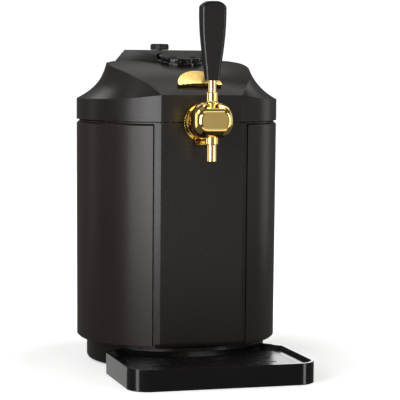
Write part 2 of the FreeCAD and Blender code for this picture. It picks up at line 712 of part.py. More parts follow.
def side_panel():
    """The right-hand panel: a slightly tapered shell with a bevelled top edge."""
    top = SEAM - PANEL_TOP_GAP
    inner_r = BARREL_R - PANEL_RECESS
    outer_r = inner_r + PANEL_THICKNESS
    profile = [(inner_r, PANEL_FOOT), (outer_r - PANEL_DRAFT, PANEL_FOOT), (outer_r, top - PANEL_TOP_BEVEL),
               (outer_r - PANEL_TOP_BEVEL, top), (inner_r, top)]
    face = outline(profile, lambda p: V(0, -p[0], p[1]))
    start = GROOVE_START + GROOVE_ANGLE
    face.rotate(V(0, 0, 0), V(0, 0, 1), start)
    panel = face.revolve(V(0, 0, 0), V(0, 0, 1), PANEL_REAR_ANGLE - start)
    return panel.common(housing_form())


def hinge_pins():
    reach = HINGE_ARM_HALF_W + HINGE_SIDE_GAP + HINGE_EAR_W
    pin = bar_x(HINGE_PIN_R, HINGE_X - reach, HINGE_X + reach, HINGE_Y, HINGE_Z)
    return group([pin, mirrored(pin)])


# ---------------------------------------------------------------- plinth, feet and screws
def plinth():
    inner_r = PLINTH_R - PLINTH_WALL
    pan = cylinder(PLINTH_R, PLINTH_FOOT, HOUSING_BOTTOM)
    pan = rounded(pan, PLINTH_ROUND, lambda edge: at_height(edge, PLINTH_FOOT))
    pan = pan.cut(cylinder(inner_r, PLINTH_FOOT + PLINTH_FLOOR + PLINTH_ROUND, HOUSING_BOTTOM))
    pan = pan.cut(cylinder(inner_r - PLINTH_ROUND, PLINTH_FOOT + PLINTH_FLOOR, HOUSING_BOTTOM))
    posts = [cylinder(BOSS_R, PLINTH_FOOT + PLINTH_FLOOR, HOUSING_BOTTOM, p.x, p.y)
             for p in boss_spots()]
    pan = joined([pan] + posts)
    for p in boss_spots():
        pan = pan.cut(cylinder(SCREW_R, PLINTH_FOOT, HOUSING_BOTTOM, p.x, p.y))
        pan = pan.cut(cylinder(SCREW_HEAD_R, PLINTH_FOOT, PLINTH_FOOT + SCREW_HEAD_H, p.x, p.y))
    for p in spots(FOOT_CIRCLE_R, FOOT_COUNT, 0):
        pan = pan.cut(cylinder(FOOT_R, PLINTH_FOOT, PLINTH_FOOT + FOOT_SINK, p.x, p.y))
    return pan


def rubber_feet():
    steps = [(0, 0), (FOOT_R - FOOT_EDGE, 0), (FOOT_R, FOOT_EDGE), (FOOT_R, FOOT_HEIGHT), (0, FOOT_HEIGHT)]
    return group([turned(steps, p.x, p.y) for p in spots(FOOT_CIRCLE_R, FOOT_COUNT, 0)])


def screw_up(x, y, head_z, tip_z):
    """A pan-head screw driven upwards, its head at the bottom."""
    head = cylinder(SCREW_HEAD_R, head_z, head_z + SCREW_HEAD_H, x, y)
    return head.fuse(cylinder(SCREW_R, head_z, tip_z, x, y)).removeSplitter()


def plinth_screws():
    tip = HOUSING_BOTTOM + SCREW_GRIP
    return group([screw_up(p.x, p.y, PLINTH_FOOT, tip) for p in boss_spots()])


# ---------------------------------------------------------------- keg well
def keg_liner():
    top = COLLAR_FOOT
    floor = WELL_FLOOR
    steps = [(0, floor)] + eased((LINER_R, floor), (-1, 0), (0, 1), WELL_CORNER)
    under = top - WELL_WALL
    steps += [(LINER_R, under), (LINER_R + WELL_FLANGE, under), (LINER_R + WELL_FLANGE, top), (WELL_R, top)]
    steps += eased((WELL_R, floor + WELL_WALL), (0, 1), (-1, 0), WELL_CORNER - WELL_WALL)
    return turned(steps + [(0, floor + WELL_WALL)])


def foam_jacket():
    """Foam that fills the housing round the well, with a pocket for the cooler."""
    top = COLLAR_FOOT - WELL_WALL
    foam = barrel(INNER_INSET, FLOOR_TOP, top)
    well = turned([(0, WELL_FLOOR)] + eased((LINER_R, WELL_FLOOR), (-1, 0), (0, 1), WELL_CORNER)
                  + [(LINER_R, top), (0, top)])
    foam = foam.cut(well).cut(cooler_window(0))
    for p in boss_spots():
        foam = foam.cut(cylinder(BOSS_R, FLOOR_TOP, FLOOR_TOP + BOSS_HEIGHT, p.x, p.y))
    return foam


def line_clip(angle):
    """A saddle on the collar with an open-topped seat for the beer line."""
    half = math.degrees(CLIP_HALF_W / LINE_CIRCLE_R)
    reach = LINE_R + CLIP_WALL
    post = sector(LINE_CIRCLE_R + reach, LINE_CIRCLE_R - reach, COLLAR_Z, SHANK_Z + LINE_R / 2,
                  angle - half, angle + half)
    seat = sector(LINE_CIRCLE_R + LINE_R, LINE_CIRCLE_R - LINE_R, SHANK_Z, SHANK_Z + 2 * LINE_R,
                  angle - 2 * half, angle + 2 * half)
    return post.cut(seat).cut(line_solid(LINE_R, angle - 2 * half, angle + 2 * half))


def well_collar():
    deck = barrel(INNER_INSET, COLLAR_FOOT, COLLAR_Z).cut(cylinder(WELL_R, COLLAR_FOOT, COLLAR_Z))
    deck = deck.cut(bar_y(NUT_R + NUT_NOTCH_GAP, NUT_FACE, ELBOW_FACE + NUT_NOTCH_GAP, 0, SHANK_Z))
    return joined([deck] + [line_clip(angle) for angle in CLIP_ANGLES])


# ---------------------------------------------------------------- cooler
def cold_plate():
    plate = block(-COLD_PLATE_HALF_W, COLD_PLATE_HALF_W, 0, COLD_PLATE_BACK,
                  COOLER_Z - COLD_PLATE_HALF_H, COOLER_Z + COLD_PLATE_HALF_H)
    return plate.cut(cylinder(LINER_R, 0, SEAM))


def cooling_cell():
    return block(-CELL_HALF, CELL_HALF, COLD_PLATE_BACK, CELL_BACK,
                 COOLER_Z - CELL_HALF, COOLER_Z + CELL_HALF)


def heat_sink():
    low = COOLER_Z - SINK_HALF_H
    high = COOLER_Z + SINK_HALF_H
    sink = [block(-SINK_HALF_W, SINK_HALF_W, CELL_BACK, SINK_FACE, low, high)]
    pairs = int((SINK_HALF_W - FIN_THICKNESS / 2) / FIN_PITCH + 0.5)
    for i in range(pairs):
        x = (i + 0.5) * FIN_PITCH
        for side in (-1, 1):
            sink.append(block(side * x - FIN_THICKNESS / 2, side * x + FIN_THICKNESS / 2,
                              SINK_FACE, FIN_TIP, low, high))
    return joined(sink)


def fan_spots():
    return [(sx * FAN_HOLE_HALF, COOLER_Z + sz * FAN_HOLE_HALF) for sx in (-1, 1) for sz in (-1, 1)]


def fan_frame():
    """Square frame with a round duct, a motor mount on three arms and the rotor's axle."""
    mount_back = FAN_FACE + FAN_MOUNT_DEPTH
    frame = block(-FAN_HALF, FAN_HALF, FAN_FACE, REAR_INSIDE, COOLER_Z - FAN_HALF, COOLER_Z + FAN_HALF)
    frame = rounded(frame, FAN_CORNER, lambda edge: abs(edge.tangentAt(edge.FirstParameter).y) > 0.99)
    frame = frame.cut(bar_y(FAN_BORE_R, FAN_FACE, REAR_INSIDE, 0, COOLER_Z))
    mount = [bar_y(FAN_HUB_R, FAN_FACE, mount_back, 0, COOLER_Z)]
    for i in range(FAN_ARMS):
        arm = block(-FAN_ARM_HALF_W, FAN_ARM_HALF_W, FAN_FACE, mount_back,
                    COOLER_Z, COOLER_Z + FAN_BORE_R + FAN_RIM / 2)
        arm.rotate(V(0, 0, COOLER_Z), V(0, 1, 0), 360 / FAN_ARMS * i)
        mount.append(arm)
    mount.append(bar_y(FAN_AXLE_R, FAN_FACE, REAR_INSIDE - FAN_AXLE_SHORT, 0, COOLER_Z))
    frame = joined([frame] + mount)
    for x, z in fan_spots():
        frame = frame.cut(bar_y(SCREW_R, FAN_FACE, REAR_INSIDE, x, z))
    return frame


def fan_rotor():
    """Hub with swept blades, running on the frame's axle."""
    front = FAN_FACE + FAN_MOUNT_DEPTH + FAN_END_GAP
    back = REAR_INSIDE - FAN_BACK_GAP
    hub = bar_y(FAN_HUB_R, front, back, 0, COOLER_Z)
    bore_end = REAR_INSIDE - FAN_AXLE_SHORT + FAN_END_GAP
    hub = hub.cut(bar_y(FAN_AXLE_R + FAN_RUNNING_GAP, front, bore_end, 0, COOLER_Z))
    blades = []
    for i in range(FAN_BLADES):
        blade = block(-FAN_BLADE_HALF_T, FAN_BLADE_HALF_T, front, back,
                      COOLER_Z + FAN_HUB_R - 2 * FAN_BLADE_HALF_T, COOLER_Z + FAN_BORE_R)
        blade.rotate(V(0, (front + back) / 2, COOLER_Z), V(0, 0, 1), FAN_BLADE_LEAN)
        blade = blade.common(bar_y(FAN_BLADE_R, front, back, 0, COOLER_Z))
        blade.rotate(V(0, 0, COOLER_Z), V(0, 1, 0), 360.0 * i / FAN_BLADES)
        blades.append(blade)
    return joined([hub] + blades)


def fan_screws():
    """Four screws through the rear cover into the fan's frame."""
    screws = []
    for x, z in fan_spots():
        head = bar_y(SCREW_HEAD_R, REAR_FACE - SCREW_HEAD_H, REAR_FACE, x, z)
        shank = bar_y(SCREW_R, REAR_FACE - FAN_SCREW_LENGTH - SCREW_HEAD_H, REAR_FACE - SCREW_HEAD_H, x, z)
        screws.append(head.fuse(shank).removeSplitter())
    return group(screws)


# ---------------------------------------------------------------- rear cover and electrics
def rear_posts():
    return [(sx * POST_X, z) for sx in (-1, 1) for z in (HOUSING_BOTTOM + POST_DROP, REAR_TOP - POST_DROP)]


def barrel_at(x, radius):
    return math.sqrt(radius ** 2 - x ** 2)


def rear_screw_tip():
    return barrel_at(POST_X - SCREW_R, INNER_R) + REAR_SCREW_GAP


def rear_screw_holes():
    return [bar_y(SCREW_R, rear_screw_tip(), REAR_FACE, x, z) for x, z in rear_posts()]


def rear_screws():
    screws = []
    for x, z in rear_posts():
        head = bar_y(SCREW_HEAD_R, REAR_FACE - SCREW_HEAD_H, REAR_FACE, x, z)
        shank = bar_y(SCREW_R, rear_screw_tip(), REAR_FACE - SCREW_HEAD_H, x, z)
        screws.append(head.fuse(shank).removeSplitter())
    return group(screws)


def fan_grille():
    """Upright slots that fill a circle in front of the fan."""
    cutters = []
    count = int(GRILLE_R / GRILLE_PITCH)
    for i in range(-count, count + 1):
        x = i * GRILLE_PITCH
        length = 2 * math.sqrt(GRILLE_R ** 2 - x ** 2)
        if length > 3 * GRILLE_SLOT:
            cutters.append(rounded_slot(length, GRILLE_SLOT, 4 * REAR_WALL, V(x, REAR_FACE, COOLER_Z),
                                        V(0, 0, 1), V(0, 1, 0)))
    return cutters


def side_louvres():
    """Air slots in both sides of the rear cover."""
    cutters = []
    middle_y = (barrel_at(REAR_HALF_W, BARREL_R) + REAR_FACE - REAR_CORNER) / 2 + 2
    for i in range(LOUVRE_COUNT):
        z = COOLER_Z + (i - (LOUVRE_COUNT - 1) / 2) * LOUVRE_PITCH
        for side in (-1, 1):
            cutters.append(rounded_slot(LOUVRE_LENGTH, LOUVRE_SLOT, 4 * REAR_WALL,
                                        V(side * REAR_HALF_W, middle_y, z), V(0, 1, 0), V(1, 0, 0)))
    return cutters


def rear_box(inset):
    box = block(-REAR_HALF_W + inset, REAR_HALF_W - inset, LINER_R, REAR_FACE - inset,
                HOUSING_BOTTOM + inset, REAR_TOP - inset)
    return rounded(box, REAR_CORNER - inset,
                   lambda edge: is_upright(edge) and edge.BoundBox.YMin > LINER_R + 1)


def rear_cover():
    cover = rear_box(0)
    cover = rounded(cover, REAR_EDGE,
                    lambda edge: at_height(edge, REAR_TOP) and edge.BoundBox.YMax > LINER_R + 1)
    posts = [bar_y(POST_R, LINER_R, REAR_INSIDE, x, z) for x, z in rear_posts()]
    cover = joined([cover.cut(rear_box(REAR_WALL))] + posts)
    cover = cover.cut(housing_form())
    for hole in rear_screw_holes():
        cover = cover.cut(hole)
    for x, z in rear_posts() + fan_spots():
        cover = cover.cut(bar_y(SCREW_HEAD_R, REAR_FACE - SCREW_HEAD_H, REAR_FACE, x, z))
    for x, z in fan_spots():
        cover = cover.cut(bar_y(SCREW_R, REAR_INSIDE, REAR_FACE, x, z))
    for cutter in fan_grille() + side_louvres():
        cover = cover.cut(cutter)
    cover = cover.cut(bar_y(SOCKET_R, REAR_INSIDE, REAR_FACE, SOCKET_X, SOCKET_Z))
    return cover.cut(block(SWITCH_X - SWITCH_HALF_W, SWITCH_X + SWITCH_HALF_W, REAR_INSIDE, REAR_FACE,
                           SOCKET_Z - SWITCH_HALF_H, SOCKET_Z + SWITCH_HALF_H))


def power_socket():
    """Low-voltage inlet: a barrel with a centre pin, its flange behind the cover's wall."""
    back = REAR_FACE - SOCKET_DEPTH
    body = bar_y(SOCKET_R, back, REAR_FACE, SOCKET_X, SOCKET_Z)
    flange = bar_y(SOCKET_FLANGE_R, back - SOCKET_PIN_SINK, REAR_INSIDE, SOCKET_X, SOCKET_Z)
    socket = joined([body, flange]).cut(bar_y(SOCKET_BORE_R, back, REAR_FACE, SOCKET_X, SOCKET_Z))
    pin = bar_y(SOCKET_PIN_R, back - SOCKET_PIN_SINK, REAR_FACE - SOCKET_PIN_SINK, SOCKET_X, SOCKET_Z)
    return joined([socket, pin])


def switch_frame():
    """Body of the power switch with a hollow for its rocker."""
    back = REAR_INSIDE - SWITCH_DEPTH
    body = block(SWITCH_X - SWITCH_HALF_W, SWITCH_X + SWITCH_HALF_W, back, REAR_FACE,
                 SOCKET_Z - SWITCH_HALF_H, SOCKET_Z + SWITCH_HALF_H)
    hollow = block(SWITCH_X - SWITCH_HALF_W + SWITCH_RIM, SWITCH_X + SWITCH_HALF_W - SWITCH_RIM,
                   back + SWITCH_RIM, REAR_FACE,
                   SOCKET_Z - SWITCH_HALF_H + SWITCH_RIM, SOCKET_Z + SWITCH_HALF_H - SWITCH_RIM)
    ledge = block(SWITCH_X - SWITCH_HALF_W - SWITCH_RIM, SWITCH_X + SWITCH_HALF_W + SWITCH_RIM,
                  REAR_INSIDE - SWITCH_RIM, REAR_INSIDE,
                  SOCKET_Z - SWITCH_HALF_H - SWITCH_RIM, SOCKET_Z + SWITCH_HALF_H + SWITCH_RIM)
    pivot = bar_x(PIN_R / 2, SWITCH_X - SWITCH_HALF_W + SWITCH_RIM, SWITCH_X + SWITCH_HALF_W - SWITCH_RIM,
                  REAR_INSIDE - SWITCH_RIM, SOCKET_Z)
    return joined([joined([body, ledge]).cut(hollow), pivot])


def power_rocker():
    """Rocker of the power switch, leaning to its off side."""
    half_w = SWITCH_HALF_W - SWITCH_RIM - ROCKER_GAP
    half_h = SWITCH_HALF_H - SWITCH_RIM - 3 * ROCKER_GAP
    tail_h = half_h - SWITCH_RIM
    pivot_y = REAR_INSIDE - SWITCH_RIM
    face = REAR_FACE - ROCKER_SINK
    steps = [(pivot_y - ROCKER_TAIL, SOCKET_Z - tail_h), (face, SOCKET_Z - half_h),
             ("arc", (face - ROCKER_DISH, SOCKET_Z), (face, SOCKET_Z + half_h)),
             (pivot_y - ROCKER_TAIL, SOCKET_Z + tail_h)]
    rocker = side_plate(steps, SWITCH_X - half_w, SWITCH_X + half_w)
    rocker = rocker.cut(bar_x(PIN_R / 2 + PIN_GAP, SWITCH_X - half_w, SWITCH_X + half_w, pivot_y, SOCKET_Z))
    rocker.rotate(V(SWITCH_X, pivot_y, SOCKET_Z), V(1, 0, 0), -ROCKER_TILT)
    return rocker


def power_board():
    """Circuit board standing on the rear cover's floor, with its coil and capacitors."""
    low = HOUSING_BOTTOM + REAR_WALL
    front = BARREL_R + SUPPLY_GAP
    back = front + BOARD_THICKNESS
    board = block(-SUPPLY_HALF_W, SUPPLY_HALF_W, front, back, low, low + SUPPLY_HEIGHT)
    coil = block(-COIL_HALF_W, COIL_HALF_W, back, back + COIL_DEPTH, low + COIL_LOW, low + COIL_HIGH)
    capacitors = [bar_y(CAPACITOR_R, back, back + CAPACITOR_LENGTH, i * CAPACITOR_PITCH, low + CAPACITOR_Z)
                  for i in (-1, 0, 1)]
    return joined([board, coil] + capacitors)


# ---------------------------------------------------------------- lid form
def flare_radius(z, angle):
    """Radius of the dome's flank at a height above the shoulder: hollow, but straighter beside the column."""
    height = (RIM_Z - z) / (RIM_Z - SHOULDER)
    straight = FLARE_STRAIGHT + FLARE_FRONT / (1 + (angle / FLARE_FADE) ** FLARE_FADE_POWER)
    return TOP_R + (BARREL_R - TOP_R) * (straight * height + (1 - straight) * height ** 3)


def shoulder_lift(angle):
    """How far the flank is lifted near the column's corners."""
    return SHOULDER_RISE / (1 + (angle / SHOULDER_FADE) ** 4)


def flank_section(z, inset):
    """Closed curve round the dome's flank at one height."""
    points = []
    for angle in range(-180, 180, FLANK_STEP):
        radius = flare_radius(z - shoulder_lift(angle) + inset, angle) - inset
        points.append(on_circle(radius, angle, z))
    curve = Part.BSplineCurve()
    curve.interpolate(points, PeriodicFlag=True)
    return Part.Wire([curve.toShape()])


def flank(inset):
    low = SHOULDER - FLANK_FOOT
    step = (TOP_Z - inset - low) / (FLANK_COUNT - 1)
    return Part.makeLoft([flank_section(low + step * i, inset) for i in range(FLANK_COUNT)], True, False)


def hood_slope(part):
    """Share of the hood's set-back reached at a share of its height: straight, then rounding over."""
    return (1 - HOOD_ROUND) * part + HOOD_ROUND * part ** HOOD_TURN


def hood_section(z, inset):
    """Plan of the hood at one height: a front arc that grows rounder towards the top."""
    part = (z + inset - COLUMN_TOP) / (TOP_Z - COLUMN_TOP)
    radius = HOOD_TOP_CURVE / max(part, HOOD_START) ** HOOD_BLEND
    front_y = -COLUMN_FACE + HOOD_SET_BACK * hood_slope(part) + inset
    side_y = front_y + radius - math.sqrt(radius ** 2 - HOOD_HALF_W ** 2)
    far = BARREL_R + HOOD_HALF_W / 4
    steps = [(-HOOD_HALF_W, side_y), ("arc", (0, front_y), (HOOD_HALF_W, side_y)), (far, side_y + far / 2),
             (far, far), (-far, far), (-far, side_y + far / 2)]
    return outline(steps, lambda p: V(p[0], p[1], z)).OuterWire


def hood(inset):
    heights = [COLUMN_TOP - inset + (TOP_Z - COLUMN_TOP) * part for part in HOOD_PARTS]
    upper = Part.makeLoft([hood_section(z, inset) for z in heights], True, False)
    lower = Part.Face(hood_section(heights[0], inset)).extrude(V(0, 0, LID_BOTTOM - 2 - heights[0]))
    return joined([upper, lower])


def dome_top(inset, low):
    """Round solid whose flat top rounds over towards the rim."""
    top = TOP_Z - inset
    curve = TOP_ROUND - inset
    fall, half_fall = [curve - math.sqrt(curve ** 2 - out ** 2) for out in (TOP_REACH, TOP_REACH / 2)]
    edge_r = TOP_FLAT_R + TOP_REACH
    return turned([(0, low), (edge_r, low), (edge_r, top - fall),
                   ("arc", (TOP_FLAT_R + TOP_REACH / 2, top - half_fall), (TOP_FLAT_R, top)), (0, top)])


def lid_form(inset):
    """The whole lid as one solid: upright band, hollow flared flank and the hood rising from the column."""
    top = TOP_Z - inset
    low = LID_BOTTOM - (0 if inset == 0 else 1)
    band = barrel(inset, low, top)
    base = cylinder(BARREL_R, low, SHOULDER - FLANK_FOOT)
    dome = joined([flank(inset), base])
    return band.common(dome).common(hood(inset)).common(dome_top(inset, low - 1))


def lid_posts():
    """Screw posts that carry the lid pan, down from the dome."""
    return [on_circle(LID_POST_CIRCLE_R, angle) for angle in LID_POST_ANGLES]


def hinge_arm():
    """Arm on the back of the lid with its eye on the hinge pin."""
    root_y = barrel_at(HINGE_X + HINGE_ARM_HALF_W, BARREL_R) - LID_WALL
    front = HINGE_Y - HINGE_BARREL_R
    back = HINGE_Y + HINGE_BARREL_R
    low = LID_BOTTOM + 1
    top = SHOULDER - HINGE_ARM_DROP
    profile = [(root_y, low), (front, low), (front, HINGE_Z),
               ("arc", (HINGE_Y, HINGE_Z - HINGE_BARREL_R), (back, HINGE_Z)), (back, low),
               ("arc", ((HINGE_Y + back) / 2 - 1, (low + top) / 2 + 2), (root_y, top))]
    return side_plate(profile, HINGE_X - HINGE_ARM_HALF_W, HINGE_X + HINGE_ARM_HALF_W)


def lid_shell():
    """The hollow dome with its band, hinge arms and the posts for the pan under it."""
    arm = hinge_arm()
    shell = lid_form(0).multiFuse([arm, mirrored(arm)])
    shell = shell.cut(bar_y(SHANK_R + LID_GAP, -BARREL_R - 1, -LINER_R, 0, SHANK_Z))
    shell = shell.cut(leaning(cylinder(POD_R - POD_WALL, SHOULDER, POD_TOP, 0, POD_Y)))
    shell = shell.cut(cylinder(SPINDLE_R + 2 * SPINDLE_ROOM, SHOULDER, TOP_Z + 1, KNOB_X, KNOB_Y))
    shell = shell.cut(bar_x(HINGE_PIN_R + HINGE_RUNNING_GAP, -BARREL_R, BARREL_R, HINGE_Y, HINGE_Z))
    hollow = lid_form(LID_WALL)
    for p in lid_posts():
        foot = PAN_FLOOR + PAN_WALL
        post = cylinder(LID_POST_R, foot, TOP_Z + LID_WALL, p.x, p.y)
        hollow = hollow.cut(post.cut(cylinder(SCREW_R, foot, foot + SCREW_GRIP, p.x, p.y)))
    return shell.cut(hollow)


def lid_pan():
    """Pan that closes the lid's underside, raised over the tap's nut and the keg's head.

    A window in its floor gives the fingers a way to the gas cartridge's holder.
    """
    w = PAN_WALL
    rim_r = BARREL_R - LID_WALL - PAN_RIM_GAP
    steps = [(0, HEAD_SPACE_TOP), (HEAD_SPACE_R - w, HEAD_SPACE_TOP), (HEAD_SPACE_R - w, PAN_FLOOR),
             (PAN_R, PAN_FLOOR), (PAN_R, PAN_RIM_Z), (rim_r, PAN_RIM_Z), (rim_r, PAN_RIM_Z + w),
             (PAN_R - w, PAN_RIM_Z + w), (PAN_R - w, PAN_FLOOR + w), (HEAD_SPACE_R, PAN_FLOOR + w),
             (HEAD_SPACE_R, HEAD_SPACE_TOP + w), (0, HEAD_SPACE_TOP + w)]
    pan = turned(steps).common(barrel(LID_WALL + PAN_RIM_GAP, PAN_FLOOR - 1, TOP_Z))
    for p in lid_posts():
        pan = pan.cut(cylinder(SCREW_R, PAN_FLOOR, PAN_FLOOR + w, p.x, p.y))
    bay = HOLDER_R + CARTRIDGE_BAY_GAP
    pan = pan.cut(block(HOLDER_END_X - CARTRIDGE_BAY_GAP, PIERCER_X, CARTRIDGE_Y - bay, CARTRIDGE_Y + bay,
                        PAN_FLOOR, PAN_FLOOR + w))
    return pan.cut(cylinder(BARB_R, PAN_FLOOR, PAN_FLOOR + w, STEM_X, CARTRIDGE_Y))


def lid_screws():
    tip = PAN_FLOOR + SCREW_GRIP
    return group([screw_up(p.x, p.y, PAN_FLOOR - SCREW_HEAD_H, tip) for p in lid_posts()])


def lid_gasket():
    """Soft ring under the pan that closes on the collar round the well."""
    low = COLLAR_Z + GASKET_GAP
    edge = GASKET_EDGE
    top = PAN_FLOOR
    steps = [(GASKET_IN_R, low), (GASKET_OUT_R, low), (GASKET_OUT_R, top - edge), (GASKET_OUT_R - edge, top),
             (GASKET_IN_R + edge, top), (GASKET_IN_R, top - edge)]
    return turned(steps)


def lid_foam():
    """Insulation in the front of the lid, between the pan and the hood."""
    low = PAN_FLOOR + PAN_WALL
    foam = ring(PAN_R - PAN_WALL, HEAD_SPACE_R, low, HEAD_SPACE_TOP - LID_FOAM_DROP)
    foam = foam.cut(block(-BARREL_R, BARREL_R, BONNET_FRONT, BARREL_R, low, TOP_Z))
    foam = foam.common(lid_form(LID_WALL))
    for p in lid_posts():
        foam = foam.cut(cylinder(LID_POST_R, low, TOP_Z, p.x, p.y))
    return foam


# ---------------------------------------------------------------- console, pod and buttons
def leaning(shape):
    """Leans a piece of the pod forward about the middle of its top."""
    shape.rotate(V(0, POD_Y, POD_TOP), V(1, 0, 0), POD_TILT)
    return shape


def console_plan(inset, z):
    """Outline of the console: a wide round back that narrows to an arc inside the pod's flange."""
    corner = math.radians(CONSOLE_CORNER_ANGLE)
    back_r = CONSOLE_R - inset
    corner_x = back_r * math.sin(corner)
    corner_y = -back_r * math.cos(corner)
    front_r = max(POD_FLANGE_R - CONSOLE_FRONT_INSET - inset, POD_R / 2)
    lean = math.atan2(corner_x - front_r, corner_y - POD_Y)
    tangent = (front_r * math.cos(lean), POD_Y - front_r * math.sin(lean))
    steps = [(-corner_x, corner_y), (-tangent[0], tangent[1]),
             ("arc", (0, POD_Y - front_r), tangent), (corner_x, corner_y),
             ("arc", (0, back_r), (-corner_x, corner_y))]
    return outline(steps, lambda p: V(p[0], p[1], z))


def console_form(inset):
    """Console as one solid: an upright foot in the dome, sides that lean in, a top that falls to the pod."""
    top = CONSOLE_TOP - inset
    lower = console_plan(inset, SHOULDER).extrude(V(0, 0, TOP_Z - SHOULDER))
    foot_wire = console_plan(inset, TOP_Z).OuterWire
    top_wire = console_plan(inset + CONSOLE_TAPER, top).OuterWire
    upper = Part.makeLoft([foot_wire, top_wire], True, True)
    ahead_y = POD_Y - POD_FLANGE_R - CONSOLE_R
    ahead_z = top - (CONSOLE_FLAT_Y - ahead_y) * POD_SLOPE
    over = side_plate([(ahead_y, ahead_z), (CONSOLE_FLAT_Y, top), (CONSOLE_FLAT_Y, KNOB_TOP), (ahead_y, KNOB_TOP)],
                      -BARREL_R, BARREL_R)
    return joined([lower, upper]).cut(over)


def console_cover():
    """Raised cap on the dome that houses the pod's board and the pressure knob's spindle."""
    cover = console_form(0)
    hollow = console_form(CONSOLE_WALL)
    cover = cover.cut(hollow).cut(lid_form(0))
    cover = cover.cut(leaning(cylinder(POD_FLANGE_R, SHOULDER, CONSOLE_TOP + 1, 0, POD_Y)))
    hole_r = SPINDLE_R + SPINDLE_ROOM
    collar = ring(hole_r + COLLAR_WALL, hole_r, TOP_Z, CONSOLE_TOP - CONSOLE_WALL / 2, KNOB_X, KNOB_Y)
    return joined([cover, collar]).cut(cylinder(hole_r, TOP_Z, CONSOLE_TOP + 1, KNOB_X, KNOB_Y))


def display_pod():
    """Polished round housing of the display, leaning forward, with a flange that sits on the hood."""
    flange_top = POD_TOP - POD_FLANGE_DROP
    lip_r = WINDOW_R - POD_LIP_W
    under = POD_TOP - WINDOW_THICKNESS
    steps = [(POD_R - POD_WALL, SHOULDER), (POD_FLANGE_R, SHOULDER)]
    steps += eased((POD_FLANGE_R, flange_top), (0, -1), (-1, 0), POD_FLANGE_EDGE) + [(POD_R, flange_top)]
    steps += eased((POD_R, POD_TOP), (0, -1), (-1, 0), POD_EDGE)
    steps += [(WINDOW_R, POD_TOP), (WINDOW_R, under), (lip_r, under), (lip_r, POD_TOP - POD_LIP),
              (POD_R - POD_WALL, POD_TOP - POD_LIP)]
    return leaning(turned(steps, 0, POD_Y)).cut(lid_form(0))


def display_window():
    """Glossy disc over the display, with two round openings for the buttons."""
    disc = cylinder(WINDOW_R, POD_TOP - WINDOW_THICKNESS, POD_TOP, 0, POD_Y)
    for x in (-BUTTON_X, BUTTON_X):
        disc = disc.cut(cylinder(BUTTON_R + BUTTON_GAP, POD_TOP - WINDOW_THICKNESS, POD_TOP, x, BUTTON_Y))
    return leaning(disc)


def push_button(x):
    """A round key with a wider foot below the window."""
    under = POD_TOP - WINDOW_THICKNESS
    low = under - BUTTON_FOOT_H
    top = POD_TOP + BUTTON_PROUD
    ledge = under - BUTTON_GAP
    steps = [(0, low), (BUTTON_FOOT_R, low), (BUTTON_FOOT_R, ledge), (BUTTON_R, ledge),
             (BUTTON_R, top - BUTTON_EDGE), (BUTTON_R - BUTTON_EDGE, top), (0, top)]
    return leaning(turned(steps, x, BUTTON_Y))


def display_board():
    """Board under the window with its display block and a switch below each key."""
    top = POD_TOP - BOARD_DROP
    under = POD_TOP - WINDOW_THICKNESS
    board = cylinder(POD_R - POD_WALL, top - BOARD_THICKNESS, top, 0, POD_Y)
    display = block(-DISPLAY_HALF_W, DISPLAY_HALF_W, POD_Y - DISPLAY_FRONT, POD_Y + DISPLAY_BACK, top, under)
    switch_top = under - BUTTON_FOOT_H - BUTTON_TRAVEL - SWITCH_GAP
    switches = [cylinder(SWITCH_R, top, switch_top, x, BUTTON_Y) for x in (-BUTTON_X, BUTTON_X)]
    return leaning(joined([board, display] + switches))


def pressure_knob():
    """Ribbed knob with its spindle, which turns in the regulator's bonnet."""
    low = KNOB_FOOT
    dish_r = KNOB_R - KNOB_RIM
    steps = [(0, low), (KNOB_R, low), (KNOB_R, KNOB_TOP - KNOB_EDGE), (KNOB_R - KNOB_EDGE, KNOB_TOP),
             (dish_r, KNOB_TOP), (dish_r - KNOB_DISH, KNOB_TOP - KNOB_DISH), (0, KNOB_TOP - KNOB_DISH)]
    knob = turned(steps, KNOB_X, KNOB_Y)
    spindle = cylinder(SPINDLE_R, BONNET_TOP - SPINDLE_REACH, low, KNOB_X, KNOB_Y)
    ribs = [cylinder(KNOB_RIB_R, low + KNOB_DISH, KNOB_TOP - 1.5 * KNOB_EDGE, KNOB_X + p.x, KNOB_Y + p.y)
            for p in spots(KNOB_R, KNOB_RIBS, 0)]
    return joined([knob, spindle] + ribs)


